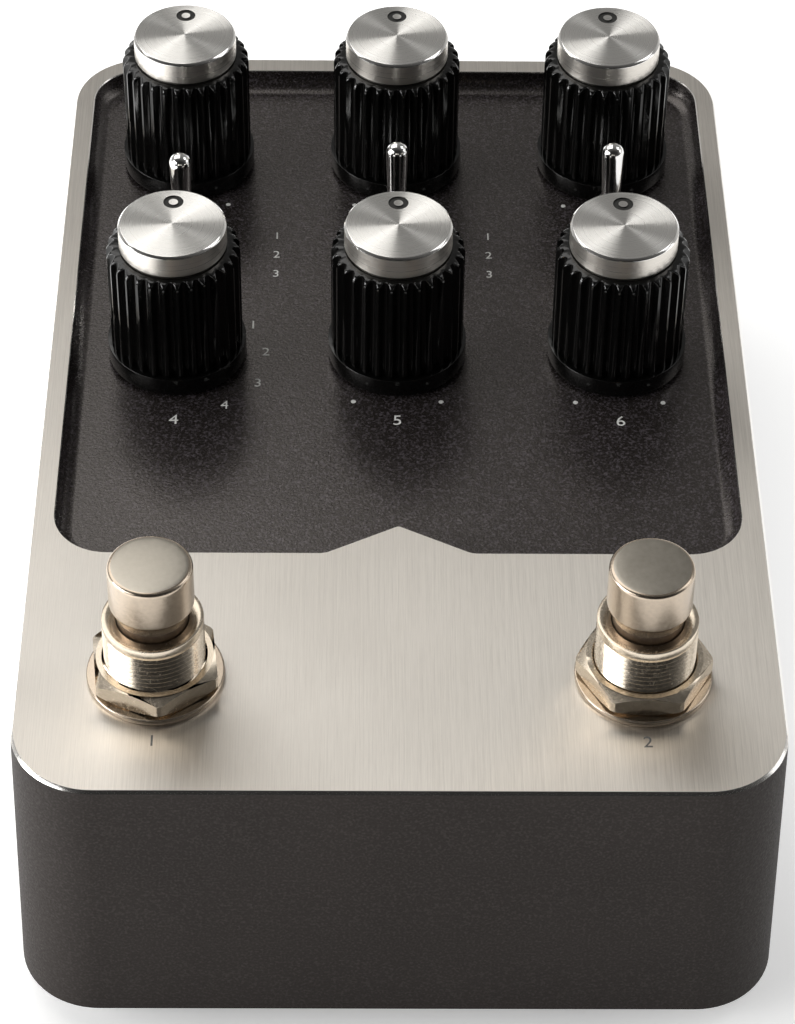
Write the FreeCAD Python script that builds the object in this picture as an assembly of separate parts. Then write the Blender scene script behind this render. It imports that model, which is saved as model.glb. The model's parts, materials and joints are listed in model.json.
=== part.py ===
import FreeCAD, Part
import math
import os

from FreeCAD import Vector

# A stereo delay pedal: a cast enclosure with a sunken control deck, six fluted knobs,
# three toggle switches, two footswitches, and its jacks, power inlet and boards.
# Millimetres. X to the right, Y towards the jacks, Z up, the desk at Z = 0.

# Round pieces that repeat are turned with flat sides, which keeps the model light
LARGE_SIDES = 30
MEDIUM_SIDES = 20
SMALL_SIDES = 16
HIDDEN_SIDES = 12

# Enclosure
TOP_WIDTH = 91.0
TOP_LENGTH = 140.0
SHELL_HEIGHT = 39.2
DRAFT_DEGREES = 1.4
CORNER_RADIUS = 10.0
TOP_CHAMFER = 0.35
WALL = 2.4
ROOF = 2.5

# Sunken deck in the top face, with a shallow pointed rise in its front edge
DECK_DEPTH = 2.8
DECK_THICKNESS = 2.2
DECK_SIDE_RIM = 2.8
DECK_REAR_RIM = 3.0
DECK_FRONT_SETBACK = 39.1
DECK_CORNER_RADIUS = 6.8
DECK_FOOT_BEVEL = 1.2
NOTCH_HALF_WIDTH = 9.1
NOTCH_RISE = 4.8
NOTCH_END_RADIUS = 3.0
NOTCH_TIP_RADIUS = 0.8

# Base plate and the rubber feet
PLATE_THICKNESS = 1.5
PLATE_LIP = 1.3
PLATE_CLEARANCE = 0.15
FOOT_RADIUS = 6.5
FOOT_HEIGHT = 3.0
FOOT_INSET = 13.5

# Places of the controls
COLUMN_INSET = 16.6
KNOB_ROW_SPACING = 40.4
KNOB_ROWS_SETBACK = 40.5
FOOTSWITCH_SETBACK = 18.5
LIGHT_SETBACK = 35.0

# Knobs, heights counted from the deck
KNOB_FLUTES = 30
KNOB_GAP = 0.3
KNOB_SKIRT_RADIUS = 9.05
KNOB_SKIRT_HEIGHT = 2.7
KNOB_SKIRT_STEP = 0.1
KNOB_TOP_RADIUS = 8.6
KNOB_HEIGHT = 18.2
FLUTE_DEPTH = 0.5
RIB_SHARE = 0.3
KNOB_WELL_RADIUS = 6.6
KNOB_WELL_DEPTH = 5.6
CAP_RADIUS = 6.95
CAP_HEIGHT = 3.4
CAP_CHAMFER = 0.3
INDEX_RADIUS = 1.3
INDEX_DEPTH = 0.2
INDEX_OFFSET = 4.3

# Potentiometers
POT_WIDTH = 11.4
POT_LENGTH = 12.4
POT_HEIGHT = 6.5
POT_LEGS_WIDTH = 8.5
POT_LEGS_LENGTH = 1.2
POT_SHAFT_RADIUS = 3.0
POT_SHAFT_IN_HOUSING = 3.0
POT_SHAFT_IN_KNOB = 9.0
KNOB_BORE_CLEARANCE = 0.03
POT_BUSH_RADIUS = 3.6
POT_BUSH_STAND = 4.6
POT_BUSH_FLOOR_GAP = 0.3
SHAFT_CLEARANCE = 0.07
PANEL_HOLE_CLEARANCE = 0.1

# Toggle switches
TOGGLE_WIDTH = 8.0
TOGGLE_LENGTH = 13.0
TOGGLE_HEIGHT = 10.0
TOGGLE_BUSH_RADIUS = 3.15
TOGGLE_BUSH_STAND = 6.6
TOGGLE_PIVOT_HEIGHT = 2.4
TOGGLE_BALL_RADIUS = 1.9
TOGGLE_LEVER_LENGTH = 16.9
TOGGLE_NECK_RADIUS = 1.1
TOGGLE_TIP_RADIUS = 1.45
TOGGLE_BALL_LATITUDES = (-50.0, -17.0, 17.0)
TOGGLE_NECK_LATITUDE = 50.0
TOGGLE_TIP_LATITUDES = (0.0, 35.0, 70.0)
TOGGLE_MOUTH_CLEARANCE = 0.2
TOGGLE_THROW_DEGREES = 11.0
TOGGLE_REST_STEPS = {"left": 0, "centre": 1, "right": 1}

# Footswitches
SWITCH_CAP_RADIUS = 5.0
SWITCH_CAP_STAND = 8.55
SWITCH_CAP_EDGE = 0.6
SWITCH_CAP_EDGE_SHARE = 0.3
SWITCH_CAP_UNDERCUT = 0.5
SWITCH_CAP_LIFT = 2.3
SWITCH_NECK_RADIUS = 4.2
SWITCH_NECK_GUIDE = 3.2
SWITCH_TRAVEL = 2.1
SWITCH_BUSH_RADIUS = 6.0
SWITCH_BUSH_STAND = 10.0
SWITCH_STEM_RADIUS = 2.5
SWITCH_STEM_IN_HOUSING = 2.5
SWITCH_SLIDE_CLEARANCE = 0.08
SWITCH_NUT_FLATS = 14.3
SWITCH_NUT_HEIGHT = 2.8
SWITCH_NUT_TURN_DEGREES = {"left": 36.0, "right": 0.0}
SWITCH_WASHER_RADIUS = 8.7
SWITCH_WASHER_THICKNESS = 0.8
SWITCH_HOUSING_WIDTH = 17.0
SWITCH_HOUSING_HEIGHT = 12.0
SWITCH_HOUSING_DROP = 3.0
SWITCH_HOLLOW_GAP = 0.5
SWITCH_LUG_WIDTH = 2.0
SWITCH_LUG_THICKNESS = 0.8
SWITCH_LUG_PITCH = 9.0
SPRING_LENGTH = 3.4
SPRING_WIRE = 0.6
SPRING_END_GAP = 0.1
THREAD_CLEARANCE = 0.05

# Status lights, clear rods up from lamps on the main board
LIGHT_RADIUS = 1.5
LIGHT_DOME = 0.5
LIGHT_DOME_SHARE = 0.6
LAMP_SIZE = 3.6
LAMP_HEIGHT = 1.2

# Circuit boards
BOARD_THICKNESS = 1.6
BOARD_EDGE_GAP = 0.8
BOARD_CORNER_CUT = 5.0
MAIN_BOARD_FRONT_SETBACK = 15.0
CONTROL_BOARD_LENGTH = 74.8
SPACER_FLATS = 5.0
SPACER_SIDE_INSET = 8.0
SPACER_FRONT_SETBACK = 26.0
SPACER_REAR_SETBACK = 38.1
SPACER_PITCH = 33.0
CONNECTOR_WIDTH = 5.0
CONNECTOR_LENGTH = 26.0
CONNECTOR_PLUG_WIDTH = 2.5
CONNECTOR_SOCKET_HEIGHT = 8.5
CONNECTOR_X = 14.5
CONNECTOR_JACK_GAP = 5.4

# Components on the main board, counted from the front edge
PROCESSOR_WIDTH = 19.0
PROCESSOR_HEIGHT = 1.6
PROCESSOR_SETBACK = 52.0
CHIP_WIDTH = 7.0
CHIP_LENGTH = 9.0
CHIP_HEIGHT = 1.2
CHIP_X = 22.0
CHIP_PITCH = 29.0
CAPACITOR_RADIUS = 3.15
CAPACITOR_HEIGHT = 7.5
CAPACITOR_PITCH = 10.0
CAPACITOR_SETBACK = 32.0

# Jacks, counted inwards from the rear wall
JACK_BORE_RADIUS = 3.25
JACK_HOUSING_HEIGHT = 13.6
JACK_HOUSING_LENGTH = 27.2
JACK_SIDE_GAP = 0.6
JACK_INLET_GAP = 1.6
JACK_BOARD_GAP = 0.9
JACK_NOSE_RADIUS = 4.7
JACK_NOSE_STAND = 3.8
JACK_NUT_FLATS = 12.7
JACK_NUT_HEIGHT = 2.2
JACK_NUT_TURN_DEGREES = 30.0
JACK_BORE_LENGTH = 25.0
JACK_CHAMBER_LENGTH = 6.8
JACK_CHAMBER_SIZE = 9.0
JACK_CONTACT_THICKNESS = 0.4
JACK_CONTACT_WIDTH = 3.0
JACK_CONTACT_LENGTH = 6.0

# Power inlet, data socket and pairing button on the rear wall
INLET_X = 0.0
INLET_WIDTH = 9.0
INLET_HEIGHT = 11.0
INLET_LENGTH = 14.2
INLET_BORE_RADIUS = 3.15
INLET_BORE_DEPTH = 9.5
INLET_BORE_HEIGHT = 6.5
INLET_PIN_RADIUS = 1.05
INLET_PIN_LENGTH = 9.0
REAR_CUTOUT_CLEARANCE = 0.15
SOCKET_X = -6.5
SOCKET_WIDTH = 8.94
SOCKET_HEIGHT = 3.26
SOCKET_LENGTH = 7.6
SOCKET_WALL = 0.3
TONGUE_WIDTH = 6.7
TONGUE_THICKNESS = 0.7
TONGUE_SETBACK = 0.6
BUTTON_X = 6.5
BUTTON_RADIUS = 1.5
BUTTON_STAND = 0.9
BUTTON_TRAVEL = 0.4
BUTTON_CLEARANCE = 0.1
BUTTON_FLANGE_RADIUS = 2.2
BUTTON_FLANGE_THICKNESS = 0.8
BUTTON_SWITCH_WIDTH = 7.0
BUTTON_SWITCH_HEIGHT = 4.6
BUTTON_SWITCH_LENGTH = 3.6
BUTTON_SWITCH_GAP = 0.3

# Levels and places worked out from the sizes above
SHELL_BOTTOM = FOOT_HEIGHT
SHELL_TOP = SHELL_BOTTOM + SHELL_HEIGHT
DECK_TOP = SHELL_TOP - DECK_DEPTH
DECK_UNDER = DECK_TOP - DECK_THICKNESS
FRONT_UNDER = SHELL_TOP - ROOF
PLATE_TOP = SHELL_BOTTOM + PLATE_THICKNESS
CONTROL_BOARD_TOP = DECK_UNDER - TOGGLE_HEIGHT
CONTROL_BOARD_BOTTOM = CONTROL_BOARD_TOP - BOARD_THICKNESS
MAIN_BOARD_TOP = CONTROL_BOARD_BOTTOM - JACK_BOARD_GAP - JACK_HOUSING_HEIGHT
MAIN_BOARD_BOTTOM = MAIN_BOARD_TOP - BOARD_THICKNESS
DRAFT = math.tan(math.radians(DRAFT_DEGREES))
HALF_WIDTH = TOP_WIDTH / 2
REAR_FACE = TOP_LENGTH / 2
FRONT_EDGE = -TOP_LENGTH / 2
REAR_INSIDE = REAR_FACE - WALL
DECK_FRONT = FRONT_EDGE + DECK_FRONT_SETBACK
COLUMN_SPACING = HALF_WIDTH - COLUMN_INSET
COLUMNS = {"left": -COLUMN_SPACING, "centre": 0.0, "right": COLUMN_SPACING}
REAR_KNOBS_Y = REAR_FACE - KNOB_ROWS_SETBACK + KNOB_ROW_SPACING / 2
FRONT_KNOBS_Y = REAR_KNOBS_Y - KNOB_ROW_SPACING
TOGGLES_Y = (REAR_KNOBS_Y + FRONT_KNOBS_Y) / 2
FOOTSWITCH_Y = FRONT_EDGE + FOOTSWITCH_SETBACK
LIGHTS_Y = FRONT_EDGE + LIGHT_SETBACK
LAMP_TOP = MAIN_BOARD_TOP + LAMP_HEIGHT
POT_SHAFT_TOP = KNOB_WELL_DEPTH + POT_SHAFT_IN_KNOB
SWITCH_BUSH_TOP = SHELL_TOP + SWITCH_BUSH_STAND
SWITCH_CAP_TOP = SWITCH_BUSH_TOP + SWITCH_CAP_STAND
SWITCH_CAP_FOOT = SWITCH_BUSH_TOP + SWITCH_CAP_LIFT
SWITCH_NECK_FOOT = SWITCH_BUSH_TOP - SWITCH_NECK_GUIDE
SWITCH_WELL_FLOOR = SWITCH_NECK_FOOT - SWITCH_TRAVEL - SPRING_LENGTH
SWITCH_HOUSING_TOP = FRONT_UNDER - SWITCH_HOUSING_DROP
SWITCH_STEM_FOOT = SWITCH_HOUSING_TOP - SWITCH_STEM_IN_HOUSING
CONTROL_BOARD_FRONT = REAR_INSIDE - BOARD_EDGE_GAP - CONTROL_BOARD_LENGTH
MAIN_BOARD_FRONT = FRONT_EDGE + MAIN_BOARD_FRONT_SETBACK
JACK_ROOM = TOP_WIDTH - 2 * CORNER_RADIUS - INLET_WIDTH - 2 * (JACK_SIDE_GAP + JACK_INLET_GAP)
JACK_HOUSING_WIDTH = JACK_ROOM / 4
JACK_PITCH = JACK_HOUSING_WIDTH + JACK_SIDE_GAP
JACK_Z = MAIN_BOARD_TOP + JACK_HOUSING_HEIGHT / 2
REAR_REACH = REAR_FACE + JACK_NOSE_STAND
FRONT_REACH = FRONT_EDGE - SHELL_HEIGHT * DRAFT
ORIGIN_Y = (REAR_REACH + FRONT_REACH) / 2
INLET_Z = MAIN_BOARD_TOP + INLET_BORE_HEIGHT
SOCKET_Z = CONTROL_BOARD_TOP + SOCKET_HEIGHT / 2
BUTTON_Z = CONTROL_BOARD_TOP + BUTTON_SWITCH_HEIGHT / 2
BUTTON_FLANGE_OUTER = REAR_INSIDE - BUTTON_CLEARANCE

UP = Vector(0, 0, 1)


def spread(height):
    """How far the drafted walls stand out beyond the top outline at a height."""
    return (SHELL_TOP - height) * DRAFT


def shifted(shape, x, y, z):
    placed = shape.copy()
    placed.translate(Vector(x, y, z))
    return placed


def group(shapes):
    """Separate solids kept in one node."""
    return Part.makeCompound([solid for shape in shapes for solid in shape.Solids])


def rounded_outline(corners, radii, z):
    """A closed wire through plan points, each corner rounded by its own radius."""
    points = [Vector(x, y, z) for x, y in corners]
    count = len(points)
    arcs = []
    for i in range(count):
        corner = points[i]
        back = (points[i - 1] - corner).normalize()
        ahead = (points[(i + 1) % count] - corner).normalize()
        half_angle = back.getAngle(ahead) / 2
        run = radii[i] / math.tan(half_angle)
        bisector = (back + ahead).normalize()
        centre = corner + bisector * (radii[i] / math.sin(half_angle))
        middle = centre - bisector * radii[i]
        arcs.append((corner + back * run, middle, corner + ahead * run))
    edges = []
    for i in range(count):
        start, middle, end = arcs[i]
        edges.append(Part.Arc(start, middle, end).toShape())
        following = arcs[(i + 1) % count][0]
        if end.distanceToPoint(following) > 1e-6:
            edges.append(Part.LineSegment(end, following).toShape())
    return Part.Wire(edges)


def rounded_rectangle(x0, x1, y0, y1, radius, z):
    corners = [(x0, y0), (x1, y0), (x1, y1), (x0, y1)]
    return rounded_outline(corners, [radius] * 4, z)


def prism(outline, height):
    return Part.Face(outline).extrude(Vector(0, 0, height))


def block(x, y, z0, width, length, height):
    """A box centred on x and y, standing on z0."""
    return Part.makeBox(width, length, height, Vector(x - width / 2, y - length / 2, z0))


def ring(radius, z, sides, turn=0.0):
    """Corner points of a regular polygon round the vertical axis."""
    angles = [math.radians(turn + 360 * i / sides) for i in range(sides)]
    return [Vector(radius * math.cos(a), radius * math.sin(a), z) for a in angles]


def skinned(rings, closed=False):
    """A solid with flat sides between rings of points, capped unless it closes on itself."""
    pairs = list(zip(rings, rings[1:]))
    outlines = [] if closed else [rings[0], rings[-1]]
    if closed:
        pairs.append((rings[-1], rings[0]))
    for lower, upper in pairs:
        for i in range(len(lower)):
            j = (i + 1) % len(lower)
            outlines.append([lower[i], lower[j], upper[j], upper[i]])
    faces = [Part.Face(Part.makePolygon(points + points[:1])) for points in outlines]
    solid = Part.Solid(Part.Shell(faces))
    if solid.Volume < 0:
        solid.reverse()
    return solid.removeSplitter()


def turned(profile, sides):
    """A turned piece about the vertical axis: points (radius, height), a loop if none is on it."""
    closed = all(radius > 0 for radius, _ in profile)
    return skinned([ring(radius, z, sides) for radius, z in profile if radius > 0], closed)


def disc(radius, z0, z1, sides):
    return skinned([ring(radius, z0, sides), ring(radius, z1, sides)])


def around(radius, sides):
    """The corner radius of a flat-sided hole in which a round piece of this radius can turn."""
    return radius / math.cos(math.pi / sides)


def collar(radius, hole_radius, z0, z1, sides):
    """A plain ring, such as a washer or a coil's sleeve."""
    return turned([(hole_radius, z0), (radius, z0), (radius, z1), (hole_radius, z1)], sides)


def hex_nut(flats, height, hole_radius, sides, turn=0.0):
    """A hexagonal nut standing on Z = 0."""
    corner = flats / math.sqrt(3)
    nut = skinned([ring(corner, 0, 6, turn), ring(corner, height, 6, turn)])
    return nut.cut(disc(hole_radius, -1, height + 1, sides))


def along_rear(shape, x, z):
    """Turns a shape built along +Z at the origin so that it points rearwards at x, z."""
    placed = shape.copy()
    placed.rotate(Vector(0, 0, 0), Vector(1, 0, 0), -90)
    placed.translate(Vector(x, 0, z))
    return placed


def outer_shell():
    """Drafted sides and front, an upright rear, round corners and a bevelled top edge."""
    def rectangle(z):
        side = HALF_WIDTH + spread(z)
        front = FRONT_EDGE - spread(z)
        corners = [(-side, front), (side, front), (side, REAR_FACE), (-side, REAR_FACE)]
        return [Vector(x, y, z) for x, y in corners]

    body = skinned([rectangle(SHELL_BOTTOM), rectangle(SHELL_TOP)])
    uprights = [edge for edge in body.Edges if edge.BoundBox.ZLength > SHELL_HEIGHT / 2]
    body = body.makeFillet(CORNER_RADIUS, uprights)
    rim = [edge for edge in body.Edges if edge.BoundBox.ZMin > SHELL_TOP - 1e-3]
    return body.makeChamfer(TOP_CHAMFER, rim)


def deck_cutter():
    """The sunken deck: bevelled at its foot, with the pointed rise in its front edge."""
    side = HALF_WIDTH - DECK_SIDE_RIM
    rear = REAR_FACE - DECK_REAR_RIM
    corners = [(-side, DECK_FRONT), (-NOTCH_HALF_WIDTH, DECK_FRONT),
               (0, DECK_FRONT + NOTCH_RISE), (NOTCH_HALF_WIDTH, DECK_FRONT),
               (side, DECK_FRONT), (side, rear), (-side, rear)]
    corner = DECK_CORNER_RADIUS
    radii = [corner, NOTCH_END_RADIUS, NOTCH_TIP_RADIUS, NOTCH_END_RADIUS, corner, corner, corner]
    cutter = prism(rounded_outline(corners, radii, DECK_TOP), DECK_DEPTH + 1)
    foot = [edge for edge in cutter.Edges if edge.BoundBox.ZMax < DECK_TOP + 1e-3]
    return cutter.makeChamfer(DECK_FOOT_BEVEL, foot)


def shell_cavity():
    """The hollow inside: higher under the brushed front than under the deck."""
    side = HALF_WIDTH - WALL
    front = FRONT_EDGE + WALL
    radius = CORNER_RADIUS - WALL
    low = rounded_rectangle(-side, side, front, REAR_INSIDE, radius, SHELL_BOTTOM - 1)
    high = rounded_rectangle(-side, side, front, DECK_FRONT - WALL, radius, SHELL_BOTTOM - 1)
    low_height = DECK_UNDER - SHELL_BOTTOM + 1
    high_height = FRONT_UNDER - SHELL_BOTTOM + 1
    return [prism(low, low_height), prism(high, high_height)]


def plate_outline(clearance, z):
    side = HALF_WIDTH + spread(SHELL_BOTTOM) - PLATE_LIP - clearance
    front = FRONT_EDGE - spread(SHELL_BOTTOM) + PLATE_LIP + clearance
    rear = REAR_FACE - PLATE_LIP - clearance
    return rounded_rectangle(-side, side, front, rear, CORNER_RADIUS - PLATE_LIP - clearance, z)


def knob_places():
    """Node suffix and centre of each knob."""
    rows = {"rear": REAR_KNOBS_Y, "front": FRONT_KNOBS_Y}
    return [(f"{row}_{column}", COLUMNS[column], rows[row]) for row in rows for column in COLUMNS]


def toggle_centres():
    return [(x, TOGGLES_Y) for x in COLUMNS.values()]


def footswitch_centres():
    return [(COLUMNS[side], FOOTSWITCH_Y) for side in ("left", "right")]


def light_centres():
    return [(COLUMNS[side], LIGHTS_Y) for side in ("left", "right")]


def jack_centres():
    """Two jacks at each side, on the flat of the rear wall between its round corners."""
    outer = HALF_WIDTH - CORNER_RADIUS - JACK_HOUSING_WIDTH / 2
    return [-outer, -outer + JACK_PITCH, outer - JACK_PITCH, outer]


def slot_ring(width, height, z):
    """Points of a slot with round ends, wide in X."""
    radius = height / 2
    points = []
    for side in (1, -1):
        for i in range(SMALL_SIDES // 2 + 1):
            angle = math.radians(-90 + 360 * i / SMALL_SIDES)
            x = side * (width / 2 - radius + radius * math.cos(angle))
            points.append(Vector(x, side * radius * math.sin(angle), z))
    return points


def top_openings():
    """Holes through the deck and the front roof for everything that comes up."""
    def hole(radius, sides, x, y):
        return shifted(disc(radius + PANEL_HOLE_CLEARANCE, DECK_UNDER - 1, SHELL_TOP + 1, sides), x, y, 0)

    holes = [hole(POT_BUSH_RADIUS, HIDDEN_SIDES, x, y) for _, x, y in knob_places()]
    holes += [hole(TOGGLE_BUSH_RADIUS, SMALL_SIDES, x, y) for x, y in toggle_centres()]
    holes += [hole(SWITCH_BUSH_RADIUS, MEDIUM_SIDES, x, y) for x, y in footswitch_centres()]
    holes += [hole(LIGHT_RADIUS, SMALL_SIDES, x, y) for x, y in light_centres()]
    return holes


def rear_openings():
    """Holes through the rear wall for the jacks, inlet, socket and button."""
    inside = REAR_INSIDE - 1
    outside = REAR_FACE + 1
    nose_hole = disc(JACK_NOSE_RADIUS + PANEL_HOLE_CLEARANCE, inside, outside, MEDIUM_SIDES)
    holes = [along_rear(nose_hole, x, JACK_Z) for x in jack_centres()]
    holes.append(block(INLET_X, (inside + outside) / 2, MAIN_BOARD_TOP - REAR_CUTOUT_CLEARANCE,
                       INLET_WIDTH + 2 * REAR_CUTOUT_CLEARANCE, outside - inside,
                       INLET_HEIGHT + 2 * REAR_CUTOUT_CLEARANCE))
    width = SOCKET_WIDTH + 2 * REAR_CUTOUT_CLEARANCE
    height = SOCKET_HEIGHT + 2 * REAR_CUTOUT_CLEARANCE
    slot = skinned([slot_ring(width, height, inside), slot_ring(width, height, outside)])
    holes.append(along_rear(slot, SOCKET_X, SOCKET_Z))
    button_hole = disc(BUTTON_RADIUS + BUTTON_CLEARANCE, inside, outside, SMALL_SIDES)
    holes.append(along_rear(button_hole, BUTTON_X, BUTTON_Z))
    return holes


def enclosure():
    rebate = prism(plate_outline(0.0, SHELL_BOTTOM - 1), PLATE_THICKNESS + 1)
    cutters = shell_cavity() + [rebate, deck_cutter()] + top_openings() + rear_openings()
    return outer_shell().cut(cutters).removeSplitter()


def base_plate():
    return prism(plate_outline(PLATE_CLEARANCE, SHELL_BOTTOM), PLATE_THICKNESS)


def rubber_feet():
    foot = disc(FOOT_RADIUS, 0, FOOT_HEIGHT, MEDIUM_SIDES)
    x = HALF_WIDTH - FOOT_INSET
    y = TOP_LENGTH / 2 - FOOT_INSET
    return group([shifted(foot, sx * x, sy * y, 0) for sx in (-1, 1) for sy in (-1, 1)])


def fluted_ring(radius, z):
    """Outline of the knob's grip: flat-topped ribs with a groove between each two."""
    pitch = 360 / KNOB_FLUTES
    floor = radius * (1 - FLUTE_DEPTH / KNOB_SKIRT_RADIUS)
    half_rib = pitch * RIB_SHARE / 2
    points = []
    for i in range(KNOB_FLUTES):
        for reach, offset in [(radius, -half_rib), (radius, half_rib), (floor, pitch / 2)]:
            angle = math.radians(pitch * i + offset)
            points.append(Vector(reach * math.cos(angle), reach * math.sin(angle), z))
    return points


def knob_body():
    """Fluted knob on Z = 0 as the deck: skirt, tapered grip, hollow foot and shaft bore."""
    skirt_top = KNOB_GAP + KNOB_SKIRT_HEIGHT
    top = KNOB_GAP + KNOB_HEIGHT
    skirt = disc(KNOB_SKIRT_RADIUS, KNOB_GAP, skirt_top, KNOB_FLUTES)
    grip = skinned([fluted_ring(KNOB_SKIRT_RADIUS - KNOB_SKIRT_STEP, skirt_top),
                    fluted_ring(KNOB_TOP_RADIUS, top)])
    well = disc(KNOB_WELL_RADIUS, 0, KNOB_WELL_DEPTH, HIDDEN_SIDES)
    bore = disc(POT_SHAFT_RADIUS + KNOB_BORE_CLEARANCE, 0, POT_SHAFT_TOP + KNOB_BORE_CLEARANCE, HIDDEN_SIDES)
    return skirt.fuse(grip).cut([well, bore]).removeSplitter()


def knob_cap():
    """Spun metal cap on the knob, with a sunken index mark near its edge."""
    foot = KNOB_GAP + KNOB_HEIGHT
    top = foot + CAP_HEIGHT
    cap = turned([(0, foot), (CAP_RADIUS, foot), (CAP_RADIUS, top - CAP_CHAMFER),
                  (CAP_RADIUS - CAP_CHAMFER, top), (0, top)], LARGE_SIDES)
    mark = disc(INDEX_RADIUS, top - INDEX_DEPTH, top + 1, HIDDEN_SIDES)
    return cap.cut(shifted(mark, 0, INDEX_OFFSET, 0))


def pot_shaft():
    foot = DECK_UNDER - DECK_TOP - POT_SHAFT_IN_HOUSING
    return disc(POT_SHAFT_RADIUS, foot, POT_SHAFT_TOP, HIDDEN_SIDES)


def pot_housings():
    """Housing, threaded bush and legs of each control, bored for its shaft."""
    bottom = DECK_UNDER - POT_HEIGHT
    bush_top = DECK_TOP + POT_BUSH_STAND
    bore_foot = DECK_UNDER - POT_SHAFT_IN_HOUSING - POT_BUSH_FLOOR_GAP
    legs_y = (POT_LEGS_LENGTH - POT_LENGTH) / 2
    pot = block(0, 0, bottom, POT_WIDTH, POT_LENGTH, POT_HEIGHT)
    pot = pot.fuse([disc(POT_BUSH_RADIUS, DECK_UNDER - 1, bush_top, HIDDEN_SIDES),
                    block(0, legs_y, CONTROL_BOARD_TOP, POT_LEGS_WIDTH, POT_LEGS_LENGTH,
                          bottom - CONTROL_BOARD_TOP + 1)])
    bore_radius = around(POT_SHAFT_RADIUS + SHAFT_CLEARANCE, HIDDEN_SIDES)
    bore = disc(bore_radius, bore_foot, bush_top + 1, HIDDEN_SIDES)
    pot = pot.cut(bore).removeSplitter()
    return group([shifted(pot, x, y, 0) for _, x, y in knob_places()])


def toggle_housings():
    box = block(0, 0, CONTROL_BOARD_TOP, TOGGLE_WIDTH, TOGGLE_LENGTH, TOGGLE_HEIGHT)
    return group([shifted(box, x, y, 0) for x, y in toggle_centres()])


def toggle_bushings():
    """Threaded bushes: a socket round the lever's ball, opening upwards for its swing."""
    pivot = DECK_UNDER + TOGGLE_PIVOT_HEIGHT
    top = DECK_TOP + TOGGLE_BUSH_STAND
    socket = TOGGLE_BALL_RADIUS + PANEL_HOLE_CLEARANCE
    throw = math.radians(TOGGLE_THROW_DEGREES)
    swing = (top - pivot) * math.tan(throw)
    lever_radius = (TOGGLE_NECK_RADIUS + TOGGLE_TIP_RADIUS) / 2 / math.cos(throw)
    mouth = max(socket, swing + lever_radius + TOGGLE_MOUTH_CLEARANCE)
    bush = turned([(socket, DECK_UNDER), (TOGGLE_BUSH_RADIUS, DECK_UNDER), (TOGGLE_BUSH_RADIUS, top),
                   (mouth, top), (socket, pivot + TOGGLE_BALL_RADIUS)], SMALL_SIDES)
    return group([shifted(bush, x, y, 0) for x, y in toggle_centres()])


def toggle_lever(column):
    """Ball and bat-shaped lever, thrown to the step that it rests in."""
    def on_ball(radius, degrees, height):
        angle = math.radians(degrees)
        return radius * math.cos(angle), height + radius * math.sin(angle)

    tip_height = TOGGLE_LEVER_LENGTH - TOGGLE_TIP_RADIUS
    profile = [on_ball(TOGGLE_BALL_RADIUS, degrees, 0) for degrees in TOGGLE_BALL_LATITUDES]
    profile.append((TOGGLE_NECK_RADIUS, on_ball(TOGGLE_BALL_RADIUS, TOGGLE_NECK_LATITUDE, 0)[1]))
    profile += [on_ball(TOGGLE_TIP_RADIUS, degrees, tip_height) for degrees in TOGGLE_TIP_LATITUDES]
    lever = skinned([ring(radius, z, SMALL_SIDES) for radius, z in profile])
    lever.rotate(Vector(0, 0, 0), Vector(1, 0, 0), -TOGGLE_THROW_DEGREES * TOGGLE_REST_STEPS[column])
    return shifted(lever, COLUMNS[column], TOGGLES_Y, DECK_UNDER + TOGGLE_PIVOT_HEIGHT)


def footswitch_bushings():
    """Threaded tubes with a well for the neck and its spring, and a guide for the stem."""
    well = SWITCH_NECK_RADIUS + SWITCH_SLIDE_CLEARANCE
    guide = SWITCH_STEM_RADIUS + SWITCH_SLIDE_CLEARANCE
    bush = turned([(guide, SWITCH_HOUSING_TOP), (SWITCH_BUSH_RADIUS, SWITCH_HOUSING_TOP),
                   (SWITCH_BUSH_RADIUS, SWITCH_BUSH_TOP), (well, SWITCH_BUSH_TOP),
                   (well, SWITCH_WELL_FLOOR), (guide, SWITCH_WELL_FLOOR)], MEDIUM_SIDES)
    return group([shifted(bush, x, y, 0) for x, y in footswitch_centres()])


def footswitch_plunger(side):
    """Wide cap on a neck that slides in the bush, on a stem that reaches into the switch."""
    edge = SWITCH_CAP_EDGE
    shoulder = edge * SWITCH_CAP_EDGE_SHARE
    plunger = turned([(0, SWITCH_STEM_FOOT), (SWITCH_STEM_RADIUS, SWITCH_STEM_FOOT),
                      (SWITCH_STEM_RADIUS, SWITCH_NECK_FOOT), (SWITCH_NECK_RADIUS, SWITCH_NECK_FOOT),
                      (SWITCH_NECK_RADIUS, SWITCH_CAP_FOOT),
                      (SWITCH_CAP_RADIUS - SWITCH_CAP_UNDERCUT, SWITCH_CAP_FOOT),
                      (SWITCH_CAP_RADIUS, SWITCH_CAP_FOOT + SWITCH_CAP_UNDERCUT),
                      (SWITCH_CAP_RADIUS, SWITCH_CAP_TOP - edge),
                      (SWITCH_CAP_RADIUS - shoulder, SWITCH_CAP_TOP - shoulder),
                      (SWITCH_CAP_RADIUS - edge, SWITCH_CAP_TOP), (0, SWITCH_CAP_TOP)], MEDIUM_SIDES)
    return shifted(plunger, COLUMNS[side], FOOTSWITCH_Y, 0)


def footswitch_spring(side):
    """Return spring, closed up into a sleeve, between the bush's shoulder and the neck."""
    inner = SWITCH_STEM_RADIUS + 2 * SWITCH_SLIDE_CLEARANCE
    sleeve = collar(inner + SPRING_WIRE, inner, SWITCH_WELL_FLOOR + SPRING_END_GAP,
                    SWITCH_NECK_FOOT - SPRING_END_GAP, SMALL_SIDES)
    return shifted(sleeve, COLUMNS[side], FOOTSWITCH_Y, 0)


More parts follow.
